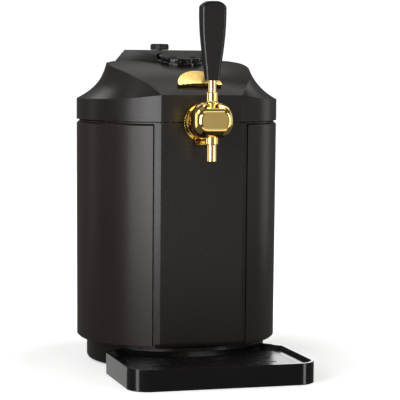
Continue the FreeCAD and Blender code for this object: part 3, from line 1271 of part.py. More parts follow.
def regulator_body():
    """Bonnet under the knob, an arm to the piercing head that takes the cartridge, and the gas outlet."""
    m = MANIFOLD_HALF
    arm_foot = BONNET_FOOT
    arm_top = BONNET_FOOT + 2 * m
    floor_top = PAN_FLOOR + PAN_WALL
    bonnet = turned([(0, BONNET_FOOT), (BONNET_R, BONNET_FOOT), (BONNET_R, BONNET_TOP - BONNET_EDGE),
                     (BONNET_R - BONNET_EDGE, BONNET_TOP), (0, BONNET_TOP)], KNOB_X, KNOB_Y)
    arm = block(KNOB_X, STEM_X + m, KNOB_Y - m, CARTRIDGE_Y + m, arm_foot, arm_top)
    drop = block(STEM_X - m, STEM_X + m, CARTRIDGE_Y - m, CARTRIDGE_Y + m, CARTRIDGE_Z, arm_foot)
    piercer = bar_x(HOLDER_R, PIERCER_X, PIERCER_X + PIERCER_LENGTH, CARTRIDGE_Y, CARTRIDGE_Z)
    stem = cylinder(m, floor_top, CARTRIDGE_Z, STEM_X, CARTRIDGE_Y)
    barb_tip = PAN_FLOOR - BARB_LENGTH
    barb = turned([(0, barb_tip), (BARB_R - BARB_TAPER, barb_tip), (BARB_R, barb_tip + BARB_LENGTH / 2),
                   (BARB_R, floor_top), (0, floor_top)], STEM_X, CARTRIDGE_Y)
    body = joined([bonnet, arm, drop, piercer, stem, barb])
    spindle_foot = BONNET_TOP - SPINDLE_REACH - SPINDLE_END_GAP
    body = body.cut(cylinder(SPINDLE_R + SPINDLE_GAP, spindle_foot, BONNET_TOP, KNOB_X, KNOB_Y))
    body = body.cut(bar_x(CARTRIDGE_NECK_R, PIERCER_X, PIERCER_X + NECK_REACH, CARTRIDGE_Y, CARTRIDGE_Z))
    return body.cut(cylinder(GAS_BORE_R, barb_tip, CARTRIDGE_Z - GAS_BORE_R, STEM_X, CARTRIDGE_Y))


def gas_cartridge():
    """Small steel bottle with a domed end, shoulder and neck, lying along X."""
    r = CARTRIDGE_R
    end = PIERCER_X + NECK_REACH - CARTRIDGE_END_GAP
    neck = PIERCER_X - CARTRIDGE_NECK_R
    shoulder = neck - r + CARTRIDGE_NECK_R
    steps = eased((r, end - CARTRIDGE_LENGTH), (-1, 0), (0, 1), r)
    steps += [(r, shoulder), (CARTRIDGE_NECK_R, neck), (CARTRIDGE_NECK_R, end), (0, end)]
    return turned_x(steps, CARTRIDGE_Y, CARTRIDGE_Z)


def cartridge_holder():
    """Screw-on cup round the cartridge, its mouth against the piercing head."""
    inner = CARTRIDGE_R + HOLDER_CLEARANCE
    end = HOLDER_END_X
    steps = [(0, end), (HOLDER_R - HOLDER_EDGE, end), (HOLDER_R, end + HOLDER_EDGE), (HOLDER_R, PIERCER_X),
             (inner, PIERCER_X), (inner, end + HOLDER_BASE), (0, end + HOLDER_BASE)]
    return turned_x(steps, CARTRIDGE_Y, CARTRIDGE_Z)


# ---------------------------------------------------------------- grip on the hood
def lid_grip():
    """Half-round plate in shallow steps, lifted off the hood's slope to take the fingertips."""
    layers = []
    for i in range(GRIP_STEPS):
        radius = GRIP_R * (1 - i * GRIP_STEP_SHARE)
        steps = [(-radius, 0), (radius, 0), ("arc", (0, radius), (-radius, 0))]
        layers.append(flat_plate(steps, 0, GRIP_THICKNESS + GRIP_STEP_RISE * i))
    feet = [cylinder(GRIP_FOOT_R, -GRIP_FOOT_LENGTH, 0, side * GRIP_R / 2, GRIP_R / 3) for side in (-1, 1)]
    plate = joined(layers + feet)
    plate.rotate(V(0, 0, 0), V(1, 0, 0), GRIP_TILT)
    tilt = math.radians(GRIP_TILT)
    front_y = -COLUMN_FACE + HOOD_SET_BACK * hood_slope(GRIP_PART)
    front_z = COLUMN_TOP + (TOP_Z - COLUMN_TOP) * GRIP_PART
    plate.translate(V(0, front_y - GRIP_LIFT * math.sin(tilt), front_z + GRIP_LIFT * math.cos(tilt)))
    return plate.cut(lid_form(0))


# ---------------------------------------------------------------- tap
def tap_form():
    """Round body about the lever's pivot with softened sides and a flat front."""
    w = TAP_HALF_W
    steps = [(0, -w)] + eased((TAP_R, -w), (-1, 0), (0, 1), TAP_SIDE_ROUND)
    steps += eased((TAP_R, w), (0, -1), (-1, 0), TAP_SIDE_ROUND) + [(0, w)]
    body = turned_x(steps, TAP_Y, TAP_Z)
    flat_y = TAP_Y - TAP_FLAT
    body = body.cut(block(-w, w, TAP_Y - 2 * TAP_R, flat_y, TAP_Z - TAP_R, TAP_Z + TAP_R))
    return rounded(body, TAP_FLAT_ROUND, lambda edge: edge.BoundBox.YMax < flat_y + 0.01)


def lever_space():
    """Room inside the tap for the lever's cam and for its stem as it swings forward."""
    half = LEVER_R + LEVER_SIDE_GAP
    reach = LEVER_COLLAR_TOP - TAP_Z
    turn = math.radians(LEVER_TRAVEL)
    steps = [(TAP_Y + half, TAP_Z), (TAP_Y + half, TAP_Z + reach),
             (TAP_Y - half * math.cos(turn) - reach * math.sin(turn),
              TAP_Z + reach * math.cos(turn) - half * math.sin(turn)),
             (TAP_Y - half * math.cos(turn), TAP_Z - half * math.sin(turn))]
    slot = side_plate(steps, -half, half)
    well = bar_x(CAM_DROP + CAM_R + CAM_GAP, -half, half, TAP_Y, TAP_Z)
    return joined([slot, well])


def tap_body():
    body = tap_form()
    neck = bar_y(TAP_NECK_R, TAP_Y, FLANGE_FRONT, 0, SHANK_Z)
    body = joined([body, neck]).cut(lever_space())
    body = body.cut(bar_y(SHANK_R, TAP_Y + TAP_R, FLANGE_FRONT, 0, SHANK_Z))
    body = body.cut(bar_y(BEER_BORE_R, TAP_Y, TAP_Y + TAP_R, 0, SHANK_Z))
    body = body.cut(cylinder(BEER_BORE_R, TAP_Z - TAP_R - 1, TAP_Z, 0, TAP_Y))
    return body.cut(bar_x(PIN_R, -PIN_HALF_LENGTH, TAP_HALF_W, TAP_Y, TAP_Z))


def tap_spout():
    root = TAP_Z - TAP_R + SPOUT_ROOT
    steps = [(BEER_BORE_R, SPOUT_TIP), (SPOUT_R, SPOUT_TIP), (SPOUT_R, SPOUT_COLLAR_Z),
             (SPOUT_COLLAR_R - SPOUT_EDGE, SPOUT_COLLAR_Z), (SPOUT_COLLAR_R, SPOUT_COLLAR_Z + SPOUT_EDGE),
             (SPOUT_COLLAR_R, root), (BEER_BORE_R, root)]
    return turned(steps, 0, TAP_Y).cut(tap_form())


def tap_flange():
    """Stepped rosette against the column, with a tab that keeps the tap from turning."""
    y = FLANGE_BACK
    steps = [(SHANK_R, y)]
    for radius, thickness in FLANGE_STEPS:
        steps += [(radius, y), (radius, y - thickness + FLANGE_EDGE), (radius - FLANGE_EDGE, y - thickness)]
        y -= thickness
    steps.append((SHANK_R, y))
    foot = SHANK_Z - FLANGE_TAB_DROP
    nose = FLANGE_BACK - FLANGE_TAB_DEPTH
    ease = 2 * FLANGE_EDGE
    root = SHANK_Z - WASHER_R
    tab = side_plate([(FLANGE_BACK, root), (FLANGE_BACK, foot), (nose + ease, foot), (nose, foot + ease),
                      (nose + ease, root)], -FLANGE_TAB_HALF_W, FLANGE_TAB_HALF_W)
    return joined([turned_y(steps, 0, SHANK_Z), tab])


def tap_washer():
    """Half-round pad between the rosette and the housing; it stays below the lid's edge."""
    washer = bar_y(WASHER_R, FLANGE_BACK, -COLUMN_FACE, 0, SHANK_Z)
    washer = washer.cut(bar_y(SHANK_R, FLANGE_BACK, -COLUMN_FACE, 0, SHANK_Z))
    return washer.cut(block(-BARREL_R, BARREL_R, FLANGE_BACK, -COLUMN_FACE, SEAM, TOP_Z))


def tap_shank():
    front = TAP_Y + TAP_R
    shank = bar_y(SHANK_R, front, ELBOW_FACE, 0, SHANK_Z).cut(tap_form())
    return shank.cut(bar_y(BEER_BORE_R, front, ELBOW_FACE, 0, SHANK_Z))


def shank_nut():
    """Hexagon nut behind the column wall."""
    face = outline([(p.x, p.y) for p in spots(NUT_R, 6, 30)], lambda p: V(p[0], NUT_FACE, SHANK_Z + p[1]))
    nut = face.extrude(V(0, NUT_THICKNESS, 0))
    return nut.cut(bar_y(SHANK_R, NUT_FACE, ELBOW_FACE, 0, SHANK_Z))


def lever_pin():
    return bar_x(PIN_R, -PIN_HALF_LENGTH, PIN_HALF_LENGTH, TAP_Y, TAP_Z)


def tap_lever():
    """Stem with its collar, the skirt that rides on the body and the cam on the pivot."""
    crown = TAP_Z + TAP_R
    skirt_foot = crown - LEVER_SKIRT_DROP
    steps = [(0, skirt_foot), (LEVER_SKIRT_R, skirt_foot), (LEVER_SKIRT_R, crown),
             ("arc", ((LEVER_SKIRT_R + 2 * LEVER_COLLAR_R) / 3, crown + LEVER_CONE / 3),
              (LEVER_COLLAR_R, crown + LEVER_CONE)),
             (LEVER_COLLAR_R, LEVER_COLLAR_TOP - LEVER_EDGE), (LEVER_COLLAR_R - LEVER_EDGE, LEVER_COLLAR_TOP),
             (0, LEVER_COLLAR_TOP)]
    skirt = turned(steps, 0, TAP_Y).cut(bar_x(TAP_R + LEVER_SKIRT_GAP, -TAP_HALF_W, TAP_HALF_W, TAP_Y, TAP_Z))
    stem = cylinder(LEVER_R, TAP_Z, HANDLE_FOOT, 0, TAP_Y)
    stud = cylinder(STUD_R, HANDLE_FOOT, HANDLE_FOOT + STUD_LENGTH, 0, TAP_Y)
    cam = bar_x(CAM_R, -LEVER_R, LEVER_R, TAP_Y, SHANK_Z)
    lever = joined([skirt, stem, stud, cam])
    return lever.cut(bar_x(PIN_R + PIN_GAP, -LEVER_R, LEVER_R, TAP_Y, TAP_Z))


def handle_section(height, width, depth):
    """Rounded rectangle across the handle at a height above its foot."""
    x = width / 2
    y = depth / 2
    c = HANDLE_CORNER
    steps = eased((x, y), (0, -1), (-1, 0), c) + eased((-x, y), (1, 0), (0, -1), c)
    steps += eased((-x, -y), (0, 1), (1, 0), c) + eased((x, -y), (-1, 0), (0, 1), c)
    return outline(steps, lambda p: V(p[0], TAP_Y + p[1], HANDLE_FOOT + height)).OuterWire


def tap_handle():
    """Tapered paddle: lofted rounded sections under a crowned top."""
    loft = Part.makeLoft([handle_section(*section) for section in HANDLE_SECTIONS], True, False)
    half = HANDLE_SECTIONS[-1][1] / 2 + HANDLE_LOFT_MARGIN
    steps = [(-half, HANDLE_FOOT), (half, HANDLE_FOOT)]
    steps += eased((half, HANDLE_TOP), (0, -1), (-1, 0), HANDLE_CROWN)
    steps += eased((-half, HANDLE_TOP), (1, 0), (0, -1), HANDLE_CROWN)
    front = outline(steps, lambda p: V(p[0], TAP_Y - TAP_R, p[1]))
    handle = loft.common(front.extrude(V(0, 2 * TAP_R, 0)))
    handle = rounded(handle, HANDLE_TOP_EDGE, lambda edge: edge.BoundBox.ZMin > HANDLE_TOP - HANDLE_CROWN and
                     edge.BoundBox.YLength < 0.01)
    return handle.cut(cylinder(STUD_R, HANDLE_FOOT, HANDLE_FOOT + STUD_LENGTH, 0, TAP_Y))


def tap_valve():
    """Plunger that the cam pushes back off its seat."""
    back = VALVE_FRONT + VALVE_LENGTH
    groove_end = back - VALVE_LAND
    groove_start = groove_end - SEAL_WIDTH
    steps = [(0, VALVE_FRONT), (VALVE_NOSE_R, VALVE_FRONT), (VALVE_NOSE_R, groove_start - VALVE_LAND),
             (VALVE_R, groove_start - VALVE_LAND), (VALVE_R, groove_start), (GROOVE_R, groove_start),
             (GROOVE_R, groove_end), (VALVE_R, groove_end), (VALVE_R, back), (0, back)]
    return turned_y(steps, 0, SHANK_Z)


def valve_seal():
    """Seal ring in the plunger's groove."""
    end = VALVE_FRONT + VALVE_LENGTH - VALVE_LAND
    start = end - SEAL_WIDTH
    outer = BEER_BORE_R - SEAL_GAP
    steps = [(GROOVE_R, start), (outer, start + SEAL_EASE), (outer, end - SEAL_EASE), (GROOVE_R, end)]
    return turned_y(steps, 0, SHANK_Z)


# ---------------------------------------------------------------- beer line
def line_solid(radius, start, end):
    face = Part.Face(Part.Wire([Part.makeCircle(radius, V(0, -LINE_CIRCLE_R, SHANK_Z), V(1, 0, 0))]))
    face.rotate(V(0, 0, 0), V(0, 0, 1), start)
    return face.revolve(V(0, 0, 0), V(0, 0, 1), end - start)


def line_elbow():
    """Elbow on the shank's tail that turns the beer sideways into the line."""
    outer = LINE_CIRCLE_R + ELBOW_DEPTH / 2
    inner = LINE_CIRCLE_R - ELBOW_DEPTH / 2
    half = ELBOW_HEIGHT / 2
    body = sector(outer, inner, SHANK_Z - half, SHANK_Z + half, -LINE_START_ANGLE, LINE_START_ANGLE)
    body = body.cut(block(-outer, outer, -2 * outer, ELBOW_FACE, SHANK_Z - half, SHANK_Z + half))
    body = body.cut(bar_y(BEER_BORE_R / 2, ELBOW_FACE, -LINE_CIRCLE_R, 0, SHANK_Z))
    return body.cut(line_solid(LINE_BORE_R, 0, LINE_START_ANGLE))


def beer_line():
    tube = line_solid(LINE_R, LINE_START_ANGLE, LINE_END_ANGLE)
    return tube.cut(line_solid(LINE_BORE_R, LINE_START_ANGLE, LINE_END_ANGLE))


def line_connector():
    """Snap connector for the keg's tapping head, on the free end of the beer line."""
    tube_r = LINE_R + 1
    steps = [(LINE_BORE_R, 0), (tube_r, 0)]
    for start, end in CONNECTOR_GRIPS:
        steps += [(tube_r, start - 1), (CONNECTOR_R, start), (CONNECTOR_R, end), (tube_r, end + 1)]
    steps += [(tube_r, CONNECTOR_LENGTH), (LINE_BORE_R, CONNECTOR_LENGTH)]
    face = outline(steps, lambda p: V(p[1], -LINE_CIRCLE_R, SHANK_Z + p[0]))
    body = face.revolve(V(0, -LINE_CIRCLE_R, SHANK_Z), V(1, 0, 0), 360)
    body.rotate(V(0, 0, 0), V(0, 0, 1), LINE_END_ANGLE)
    return body


# ---------------------------------------------------------------- drip tray
def tray_outline(inset, z):
    """The tray's outline: round front corners, wings that run back and a hollow that hugs the plinth."""
    w = TRAY_HALF_W - inset
    front = TRAY_FRONT + inset
    corner = max(TRAY_CORNER - inset, TRAY_CORNER_MIN)
    hug = TRAY_HUG_R + inset
    wing_x = TRAY_WING_X - inset / 2
    wing_y = -math.sqrt(hug ** 2 - wing_x ** 2)
    side_y = TRAY_WING_Y - inset * TRAY_WING_SHARE
    steps = [(w, side_y), (wing_x, wing_y), ("arc", (0, -hug), (-wing_x, wing_y)), (-w, side_y)]
    steps += eased((-w, front), (0, 1), (1, 0), corner) + eased((w, front), (-1, 0), (0, 1), corner)
    return outline(steps, lambda p: V(p[0], p[1], z))


def tray_plan(inset, z0, z1):
    return tray_outline(inset, z0).extrude(V(0, 0, z1 - z0))


def tray_basin():
    """Hollow of the tray: a straight deep basin, the grid's ledge and walls that lean outwards."""
    grid_foot = GRID_TOP - GRID_THICKNESS
    deep = tray_plan(GRID_MARGIN + LEDGE_W, TRAY_FLOOR, grid_foot + 1)
    margin = GRID_MARGIN - GRID_GAP
    ledge = tray_plan(margin, grid_foot, GRID_TOP)
    foot_wire = tray_outline(TRAY_RIM + BASIN_SLOPE, GRID_TOP).OuterWire
    rim_wire = tray_outline(TRAY_RIM, TRAY_TOP).OuterWire
    slope = Part.makeLoft([foot_wire, rim_wire], True, True)
    return joined([deep, ledge, slope])


def drip_tray():
    tray = tray_plan(0, 0, TRAY_TOP)
    tray = rounded(tray, TRAY_WING_ROUND,
                   lambda edge: is_upright(edge) and edge.BoundBox.YMin > TRAY_WING_Y - 1
                   and abs(edge.BoundBox.XMin) > TRAY_HALF_W - 1)
    tray = rounded(tray, TRAY_FOOT_EDGE, lambda edge: at_height(edge, 0))
    return tray.cut(tray_basin())


def drip_grid():
    """Loose plate with rows of slots; its back edge keeps in front of the housing."""
    low = GRID_TOP - GRID_THICKNESS
    grid = tray_plan(GRID_MARGIN, low, GRID_TOP)
    grid = grid.cut(barrel(-GRID_HOUSING_GAP, low, GRID_TOP))
    front = TRAY_FRONT + GRID_MARGIN + 2 * GRID_SLOT
    rows = int((-COLUMN_FACE - GRID_HOUSING_GAP - front) / GRID_SLOT_PITCH_Y)
    columns = int((2 * (TRAY_HALF_W - GRID_MARGIN) - GRID_SLOT_PITCH_X / 2) / GRID_SLOT_PITCH_X)
    for row in range(rows):
        count = columns - row % 2
        for i in range(count):
            x = (i - (count - 1) / 2) * GRID_SLOT_PITCH_X
            spot = V(x, front + row * GRID_SLOT_PITCH_Y, low)
            grid = grid.cut(rounded_slot(GRID_SLOT_LENGTH, GRID_SLOT, 4 * GRID_THICKNESS, spot,
                                         V(1, 0, 0), V(0, 0, 1)))
    return grid


PIECES = {
    "plinth": plinth, "rubber_feet": rubber_feet, "plinth_screws": plinth_screws,
    "housing_shell": housing_shell, "side_panel_right": side_panel,
    "side_panel_left": lambda: mirrored(side_panel()), "hinge_pins": hinge_pins,
    "keg_liner": keg_liner, "foam_jacket": foam_jacket, "well_collar": well_collar,
    "cold_plate": cold_plate, "cooling_cell": cooling_cell, "heat_sink": heat_sink,
    "fan_frame": fan_frame, "fan_rotor": fan_rotor, "fan_screws": fan_screws,
    "rear_cover": rear_cover, "rear_screws": rear_screws, "power_board": power_board,
    "power_socket": power_socket, "switch_frame": switch_frame, "power_rocker": power_rocker,
    "lid_shell": lid_shell, "lid_pan": lid_pan, "lid_screws": lid_screws, "lid_gasket": lid_gasket,
    "lid_foam": lid_foam, "lid_grip": lid_grip, "console_cover": console_cover, "display_pod": display_pod,
    "display_window": display_window, "display_board": display_board,
    "cooler_button": lambda: push_button(-BUTTON_X), "warmer_button": lambda: push_button(BUTTON_X),
    "pressure_knob": pressure_knob, "regulator_body": regulator_body, "gas_cartridge": gas_cartridge,
    "cartridge_holder": cartridge_holder,
    "tap_washer": tap_washer, "tap_flange": tap_flange, "tap_shank": tap_shank, "shank_nut": shank_nut,
    "tap_body": tap_body, "tap_spout": tap_spout, "lever_pin": lever_pin, "tap_lever": tap_lever,
    "tap_handle": tap_handle, "tap_valve": tap_valve, "valve_seal": valve_seal,
    "line_elbow": line_elbow, "beer_line": beer_line, "line_connector": line_connector,
    "drip_tray": drip_tray, "drip_grid": drip_grid,
}

if __name__ == "__main__":
    os.makedirs("parts", exist_ok=True)
    for name, make in PIECES.items():
        save(name, make())
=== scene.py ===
import bmesh
import bpy
import json
import math
from mathutils import Matrix, Vector


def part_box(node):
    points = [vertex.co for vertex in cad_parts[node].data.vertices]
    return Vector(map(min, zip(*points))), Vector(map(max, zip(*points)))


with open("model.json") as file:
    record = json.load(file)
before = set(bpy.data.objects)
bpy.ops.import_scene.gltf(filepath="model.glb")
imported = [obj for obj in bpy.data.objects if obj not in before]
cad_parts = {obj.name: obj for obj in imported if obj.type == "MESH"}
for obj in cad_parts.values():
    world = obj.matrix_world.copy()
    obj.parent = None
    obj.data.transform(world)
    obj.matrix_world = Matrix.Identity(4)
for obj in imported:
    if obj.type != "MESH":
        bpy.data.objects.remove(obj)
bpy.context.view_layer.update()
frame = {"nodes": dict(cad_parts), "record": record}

# Places are in metres. The tap is on the -Y side, and +X is to the right of someone who faces it.
# Angles round the dispenser are in degrees from straight in front, positive to the right.
MM = 0.001


def middle(node):
    """Middle of a piece's box."""
    low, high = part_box(node)
    return (low + high) / 2


def lower_edge(node):
    """Middle of the front lower edge of a piece's box."""
    low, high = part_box(node)
    return Vector(((low.x + high.x) / 2, low.y, low.z))


AXIS_Y = middle("plinth").y      # the barrel's axis
AIM_HEIGHT = 0.24                # height on that axis that the hung lights are turned to
TAP_MIDDLE = middle("tap_body")
GRIP_CENTRE = lower_edge("lid_grip")

# Camera: where it stands, how it is turned in degrees, and its lens and sensor in millimetres
CAMERA_PLACE = (-0.60034, -2.12096, 0.38233)
CAMERA_ANGLE = -16.35
CAMERA_PITCH = 4.46
CAMERA_ROLL = 0.44
CAMERA_LENS = 154.47
CAMERA_SENSOR = 36.0

# Studio: a round white floor inside a round glowing wall
STUDIO_R = 4.0
STUDIO_HEIGHT = 6.0
STUDIO_SIDES = 48
WALL_FOOT = -0.2                 # the wall starts below the floor, so no gap shows
WALL_GLOW = 1.1
GLOW_NEAR = 0.55                 # weaker glow of the floor beside the dispenser: painted shade round it
GLOW_FAR = 1.1                   # and away from it
GLOW_GROWS_FROM = 0.2            # distances between which it grows
GLOW_GROWS_TO = 0.5
WORLD_HEX = "FFF9F2"
WORLD_STRENGTH = 0.12

# Softboxes that stand on the floor: name, angle, width, power in watts
STANDING_HEIGHT = 1.0
STANDING_DISTANCE = 1.3
STANDING_LIFT = 0.02
STANDING_LIGHTS = (
    ("key_left", -41, 0.62, 9.5),        # the main light: a broad band down the left of the barrel
    ("strip_left", -62, 0.14, 2.6),      # a narrower band beside it
    ("rim_left", -122, 0.3, 0.3),        # the barrel's left edge
    ("column_fill", 9, 0.5, 0.55),       # an even grey on the flat column
    ("strip_right", 44, 0.14, 3.0),      # a line down the column's right corner
    ("side_right", 75, 0.34, 0.35),      # the barrel's right side
    ("rim_right", 104, 0.34, 0.9),       # and its right edge
)

# Card that lies on the floor and faces up, for the foot of the column
FLOOR_CARD_ANGLE = 14
FLOOR_CARD_DISTANCE = 1.15
FLOOR_CARD_LIFT = 0.01
FLOOR_CARD_SIZE = 0.8
FLOOR_CARD_POWER = 1.1

# Softboxes hung round and above the lid: name, angle, elevation, width, depth, power in watts
HANGING_DISTANCE = 1.6
HUNG_LIGHTS = (
    ("flank_left", -98, 42, 0.55, 0.6, 2.8),     # the bright sweep on the lid's hollow left flank
    ("flank_back", -168, 40, 0.45, 0.5, 0.8),    # the flank's upper edge
    ("hood_left", -90, 70, 0.7, 0.6, 0.35),
    ("flank_right", 118, 42, 0.5, 0.6, 1.2),
    ("hood_back", 165, 42, 0.5, 0.6, 0.46),      # a soft fall of light over the hood and console
    ("hood_top", 150, 70, 0.7, 0.6, 0.9),
    ("grip_top", 90, 70, 0.7, 0.6, 1.5),         # light from the right on the grip and the lid's top
)


def linear(hex_colour):
    """Turns an sRGB hex colour into linear red, green, blue and alpha."""
    parts = [int(hex_colour[i:i + 2], 16) / 255 for i in (0, 2, 4)]
    return tuple(p / 12.92 if p <= 0.04045 else ((p + 0.055) / 1.055) ** 2.4 for p in parts) + (1.0,)


def add(tree, kind, joins=(), inputs=(), **settings):
    """Adds one node: joins are the sockets that feed it, inputs its socket values, and settings
    its own properties."""
    node = tree.nodes.new(kind)
    for name, value in settings.items():
        setattr(node, name, value)
    for socket, value in dict(inputs).items():
        node.inputs[socket].default_value = value
    for socket, source in dict(joins).items():
        tree.links.new(source, node.inputs[socket])
    return node


def surface(name, **sockets):
    """Starts a material: its shader, with values set on the shader's own sockets, and the place on
    the dispenser that its patterns are laid out by."""
    material = bpy.data.materials.new(name)
    material.use_nodes = True
    tree = material.node_tree
    shader = tree.nodes["Principled BSDF"]
    for socket, value in sockets.items():
        shader.inputs[socket.replace("_", " ")].default_value = value
    place = add(tree, "ShaderNodeTexCoord").outputs["Object"]
    return material, tree, shader, place


def clouds(tree, place, size_mm, detail=2.0, stretch=(1, 1, 1)):
    """Cloudy pattern with features size_mm across: stretch packs them closer along an axis where it
    is over 1, and draws them out where it is under 1."""
    scaled = add(tree, "ShaderNodeMapping", {"Vector": place}, {"Scale": stretch})
    noise = add(tree, "ShaderNodeTexNoise", {"Vector": scaled.outputs["Vector"]},
                {"Scale": 1 / (size_mm * MM), "Detail": detail})
    return noise.outputs["Fac"]


def tinted(tree, shader, pattern, dark, light):
    """Colours a surface between two hex colours by a pattern."""
    mix = add(tree, "ShaderNodeMix", {"Factor": pattern}, data_type="RGBA")
    mix.inputs["A"].default_value = linear(dark)
    mix.inputs["B"].default_value = linear(light)
    tree.links.new(mix.outputs["Result"], shader.inputs["Base Color"])


# Values of a pattern that its gloss starts and ends at. Clouds seldom leave the middle of their range.
FULL_RANGE = (0.0, 1.0)
CLOUD_RANGE = (0.3, 0.7)
DEEP_CLOUD_RANGE = (0.35, 0.75)


def glossed(tree, shader, pattern, smooth, rough, between=CLOUD_RANGE):
    """Varies a surface's roughness from smooth to rough as a pattern goes between two of its values."""
    spread = add(tree, "ShaderNodeMapRange", {"Value": pattern},
                 {"From Min": between[0], "From Max": between[1], "To Min": smooth, "To Max": rough})
    tree.links.new(spread.outputs["Result"], shader.inputs["Roughness"])


def relief(tree, shader, pattern, depth_mm, strength, edge_mm=0.5):
    """Bumps a surface by a pattern, on edges that look softly broken."""
    soft = add(tree, "ShaderNodeBevel", {}, {"Radius": edge_mm * MM}, samples=4)
    bump = add(tree, "ShaderNodeBump", {"Height": pattern, "Normal": soft.outputs["Normal"]},
               {"Distance": depth_mm * MM, "Strength": strength})
    tree.links.new(bump.outputs["Normal"], shader.inputs["Normal"])


def moulded_plastic(name, dark, light, rough, grain_mm, depth_mm, spread=0.06):
    """Injection-moulded plastic: spark-eroded grain in the tool, slow flow clouds in colour and gloss."""
    material, tree, shader, place = surface(name, IOR=1.5)
    flow = clouds(tree, place, size_mm=60, detail=3)
    grain = clouds(tree, place, grain_mm, detail=1)
    patches = clouds(tree, place, size_mm=9, detail=4)
    gloss = add(tree, "ShaderNodeMix", {"Factor": patches, "A": flow, "B": grain})
    tinted(tree, shader, flow, dark, light)
    glossed(tree, shader, gloss.outputs["Result"], rough - spread, rough + spread)
    relief(tree, shader, grain, depth_mm, strength=0.5)
    return material


def polished_plastic(name, dark, light, rough, **sockets):
    """Plastic from a mirror-polished tool: faint waves where it cooled, fine rubbing marks from cloths."""
    material, tree, shader, place = surface(name, IOR=1.5, **sockets)
    shades = clouds(tree, place, size_mm=40)
    rubbing = clouds(tree, place, size_mm=2.5, detail=6, stretch=(1, 0.25, 0.6))
    waves = clouds(tree, place, size_mm=22, detail=0)
    tinted(tree, shader, shades, dark, light)
    glossed(tree, shader, rubbing, rough * 0.6, rough * 1.8, DEEP_CLOUD_RANGE)
    relief(tree, shader, waves, depth_mm=0.05, strength=0.3, edge_mm=0.6)
    return material


def lacquered_plastic(name, dark, light, rough):
    """Moulded plastic under metallic lacquer: flakes that glint, drawn at 0.9 mm because the real
    0.1 mm is too fine to show, and the slight orange peel of sprayed lacquer."""
    material, tree, shader, place = surface(name, IOR=1.5)
    flake_mm = 0.9
    flakes = add(tree, "ShaderNodeTexVoronoi", {"Vector": place}, {"Scale": 1 / (flake_mm * MM)})
    glints = flakes.outputs["Distance"]
    shades = clouds(tree, place, size_mm=80)
    both = add(tree, "ShaderNodeMix", {"A": shades, "B": glints}, {"Factor": 0.45})
    peel = clouds(tree, place, size_mm=2.4, detail=1)
    tinted(tree, shader, both.outputs["Result"], dark, light)
    glossed(tree, shader, glints, rough - 0.05, rough + 0.08, FULL_RANGE)
    relief(tree, shader, peel, depth_mm=0.02, strength=0.4)
    return material


def worked_metal(name, dark, light, rough, stretch, depth_mm=0.01):
    """Bare or plated metal: slow colour clouds, and tool lines along the way it was worked, drawn at
    0.5 mm because real ones are too fine to show."""
    material, tree, shader, place = surface(name, Metallic=1.0)
    shades = clouds(tree, place, size_mm=14, detail=4)
    lines = clouds(tree, place, size_mm=0.5, detail=3, stretch=stretch)
    tinted(tree, shader, shades, dark, light)
    glossed(tree, shader, lines, rough * 0.7, rough * 1.4)
    relief(tree, shader, lines, depth_mm, strength=0.3, edge_mm=0.3)
    return material


def stepped_metal(name, dark, light, rough, centre, step_mm):
    """Anodised metal milled in curved steps round a centre, and brushed across."""
    material, tree, shader, place = surface(name, Metallic=1.0)
    shades = clouds(tree, place, size_mm=10, detail=4)
    brushing = clouds(tree, place, size_mm=0.6, detail=3, stretch=(0.1, 1, 1))
    from_centre = add(tree, "ShaderNodeMapping", {"Vector": place}, {"Location": -centre})
    # at scale 1, a wave node draws a ring every tau / 20 metres
    steps = add(tree, "ShaderNodeTexWave", {"Vector": from_centre.outputs["Vector"]},
                {"Scale": math.tau / (20 * step_mm * MM)},
                wave_type="RINGS", rings_direction="SPHERICAL", wave_profile="SAW")
    tinted(tree, shader, shades, dark, light)
    glossed(tree, shader, brushing, rough * 0.7, rough * 1.4)
    relief(tree, shader, steps.outputs["Fac"], depth_mm=1.2, strength=1.0, edge_mm=0.3)
    return material


def moulded_rubber(name, dark, light, rough):
    """Moulded rubber: dull, with bloom in pale clouds and a fine sandy skin."""
    material, tree, shader, place = surface(name, IOR=1.52, Specular_IOR_Level=0.35)
    bloom = clouds(tree, place, size_mm=5, detail=5)
    skin = clouds(tree, place, size_mm=0.9)
    tinted(tree, shader, bloom, dark, light)
    glossed(tree, shader, bloom, rough - 0.1, rough + 0.1)
    relief(tree, shader, skin, depth_mm=0.05, strength=0.5)
    return material


def blown_foam(name, dark, light):
    """Blown foam: cells of about 1.2 mm cut open at the skin, yellowed in patches."""
    material, tree, shader, place = surface(name, IOR=1.45, Roughness=0.85)
    cell_mm = 1.2
    cells = add(tree, "ShaderNodeTexVoronoi", {"Vector": place}, {"Scale": 1 / (cell_mm * MM)})
    patches = clouds(tree, place, size_mm=25, detail=3)
    tinted(tree, shader, patches, dark, light)
    relief(tree, shader, cells.outputs["Distance"], depth_mm=0.4, strength=0.8)
    return material


def fired_ceramic(name, dark, light):
    """Fired ceramic: white and close-grained, with a slight sheen."""
    material, tree, shader, place = surface(name, IOR=1.76, Roughness=0.35)
    shades = clouds(tree, place, size_mm=6, detail=4)
    grain = clouds(tree, place, size_mm=0.8)
    tinted(tree, shader, shades, dark, light)
    relief(tree, shader, grain, depth_mm=0.02, strength=0.4)
    return material


def masked_board(name, dark, light):
    """Glass-fibre board under solder mask: straight copper tracks that show through as paler lines."""
    material, tree, shader, place = surface(name, IOR=1.52, Roughness=0.3)
    track_mm = 14
    tracks = add(tree, "ShaderNodeTexBrick", {"Vector": place},
                 {"Scale": 1 / (track_mm * MM), "Mortar Size": 0.05, "Mortar Smooth": 0.1})
    tinted(tree, shader, tracks.outputs["Fac"], dark, light)
    relief(tree, shader, tracks.outputs["Fac"], depth_mm=0.05, strength=0.6, edge_mm=0.2)
    return material


